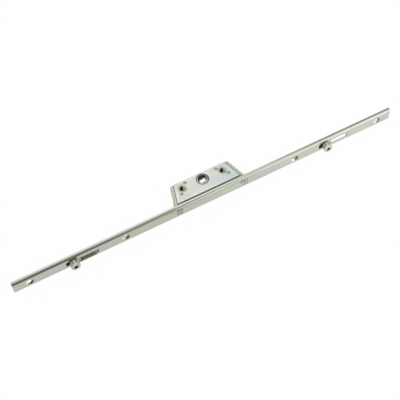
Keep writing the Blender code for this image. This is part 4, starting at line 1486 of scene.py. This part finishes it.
@dataclass
class Studio:
    """Camera, floor, light, and the grey and white cards that draw lines in the metal."""

    eye: Point = (-0.1990272, -0.3801257, 0.6524644)
    right: Point = (0.88024049, -0.4738215, -0.0258817)
    up: Point = (0.40945013, 0.73082387, 0.54612002)
    ahead: Point = (0.23984844, 0.49131422, -0.83730703)
    lens: float = 75.054
    sensor: float = 36.0
    clip: Pair = (0.01, 20.0)
    light: float = 1.0
    white: Colour = (1.0, 1.0, 1.0)
    paper: Colour = (0.85, 0.85, 0.85)
    glow: float = 0.975
    floor_size: float = 6.0
    floor_place: Point = (0.0, 0.0032, -0.0083)
    floor_tilt: float = math.radians(7.5)
    cards: tuple[tuple[str, Point, Point, Point, float], ...] = (
        ("card_front", (-0.20, -0.020, 0.007), (0.22, 0.0, 0.0), (0.0, 0.0, 0.037), 0.18),
        ("card_middle", (-0.005, -0.021, 0.034), (0.085, 0.0, 0.0), (0.0, 0.0, 0.021), 0.50),
        ("card_lamp", (0.20, -0.020, -0.004), (0.215, 0.0, 0.0), (0.0, 0.0, 0.030), 1.48),
        # A dark card under the rail that only the metal sees: a painted shadow, the floor's shade beneath the rail
        # as the metal reflects it.
        ("card_below", (-0.02, 0.0085, -0.0073), (0.21, 0.0, 0.0), (0.0, 0.0105, 0.00138), 0.1),
        ("card_above", (0.45, -0.05, 0.42), (0.31, 0.0, 0.0), (0.0, 0.22, 0.0), 0.08),
        ("card_top", (-0.02, 0.08, 0.45), (0.27, 0.0, 0.0), (0.0, 0.16, 0.0), 1.75),
    )

    def camera(self) -> None:
        """Set the camera at the photograph's viewpoint."""
        data = bpy.data.cameras.new("view")
        data.lens = self.lens
        data.sensor_width = self.sensor
        data.clip_start, data.clip_end = self.clip
        item = bpy.data.objects.new("view", data)
        bpy.context.scene.collection.objects.link(item)
        self.put(item, self.eye, Vector(self.right), Vector(self.up), -Vector(self.ahead))
        bpy.context.scene.camera = item

    @staticmethod
    def put(item: Piece, place: Point, *columns: Vector) -> None:
        """Place an object by its x, y and z axes."""
        item.matrix_world = Matrix.Translation(Vector(place)) @ Matrix(columns).transposed().to_4x4()

    def world(self) -> None:
        """A white tent."""
        world = bpy.data.worlds.new("studio")
        bpy.context.scene.world = world
        world.use_nodes = True
        shader = Shader(world.node_tree)
        tent = shader.node("ShaderNodeBackground", inputs={"Color": self.white, "Strength": self.light})
        shader.end(tent, "ShaderNodeOutputWorld")

    def floor(self) -> None:
        """A white floor that only darkens faintly under the object."""
        Bench.clear()
        bpy.ops.mesh.primitive_plane_add(size=self.floor_size, location=self.floor_place,
                                         rotation=(self.floor_tilt, 0.0, 0.0))
        floor = bpy.context.active_object
        floor.name = "floor"
        material, shader = new_material("floor_white")
        paper = shader.node("ShaderNodeBsdfDiffuse", inputs={"Color": self.paper})
        glow = shader.node("ShaderNodeEmission", inputs={"Color": self.white, "Strength": self.light})
        share = self.seen_directly(shader) * self.glow
        shader.end(shader.node("ShaderNodeMixShader", inputs={0: share, 1: paper, 2: glow}))
        floor.data.materials.append(material)

    @staticmethod
    def seen_directly(shader: Shader) -> Value:
        """Whether a ray comes from the camera, a reflection or a transmission.

        Args:
            shader: The material's shader.

        Returns:
            1 for such a ray, 0 for a diffuse one.
        """
        first = shader.node("ShaderNodeLightPath", output="Is Camera Ray")
        outputs = first.socket.node.outputs
        total = first + Value(shader, outputs["Is Glossy Ray"]) + Value(shader, outputs["Is Transmission Ray"])
        return total.at_most(1.0)

    def card(self, name: str, centre: Point, half_width: Point, half_height: Point, tone: float) -> None:
        """Hang a soft-edged card that only the metal sees.

        Args:
            name: The card's name.
            centre: Its middle.
            half_width: From the middle to one side.
            half_height: From the middle to the top.
            tone: How bright it is, where white is 1.
        """
        Bench.clear()
        bpy.ops.mesh.primitive_plane_add(size=2.0)
        card = bpy.context.active_object
        card.name = name
        across, upward = Vector(half_width), Vector(half_height)
        self.put(card, centre, across, upward, across.cross(upward).normalized())
        card.visible_camera = False
        card.visible_diffuse = False
        card.visible_shadow = False
        material, shader = new_material(name)
        x, y, _ = shader.axes(shader.place())
        near = (1.0 - x * x).at_least(0.0) * (1.0 - y * y).at_least(0.0)
        cloth = shader.node("ShaderNodeEmission", inputs={"Color": self.white, "Strength": tone})
        clear = shader.node("ShaderNodeBsdfTransparent")
        shader.end(shader.node("ShaderNodeMixShader", inputs={0: near.ramp(0.0, 1.0), 1: clear, 2: cloth}))
        card.data.materials.append(material)

    def build(self) -> None:
        """Set up camera, world, floor and cards."""
        bpy.context.scene.view_settings.view_transform = "Standard"
        self.camera()
        self.world()
        self.floor()
        for card in self.cards:
            self.card(*card)


@dataclass
class CadDress:
    """Finishes of the CAD nodes that stay as they are."""

    single: tuple[tuple[str, str], ...] = (("follower", "gear_steel"), ("drive_rod", "rod_zinc"),
                                           ("rack_slider", "gear_steel"))
    pairs: tuple[tuple[str, str], ...] = (("rack_rivet", "rivet_zinc"), ("cam_block", "block_zinc"),
                                          ("slot_glide", "glide_nylon"), ("block_rivet", "rivet_zinc"),
                                          ("cam_washer", "rivet_zinc"))

    def build(self, nodes: dict[str, Piece], materials: dict[str, Material]) -> None:
        """Put a finish on every node.

        Args:
            nodes: The CAD nodes by name.
            materials: The finishes by name.
        """
        both = [(f"{name}_{hand}", finish) for name, finish in self.pairs for hand in HANDS]
        for name, finish in (*self.single, *both):
            nodes[name].data.materials.clear()
            nodes[name].data.materials.append(materials[finish])


def main() -> None:
    """Build the studio and every piece."""
    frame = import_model()
    materials = {finish.name: finish.make() for finish in FINISHES}
    Studio().build()
    CadDress().build(frame["nodes"], materials)
    FaceplateRail().build(materials["rail_zinc"])
    CaseBody().build(materials["case_zinc"])
    CoverPlate().build(materials["cover_zinc"])
    for side, hand in zip(SIDES, HANDS):
        ScrewSleeve(hand, (side * SCREW_X, SPINDLE_Y)).build(materials["sleeve_zinc"])
    CoverRivets().build(materials["rivet_zinc"])
    for hand, head, shank in zip(HANDS, CAM_HEADS, CAM_SHANKS):
        MushroomCam(hand, head, shank).build(materials[f"cam_{hand}_zinc"])


if __name__ == "__main__":
    logging.basicConfig(level=logging.INFO)
    main()
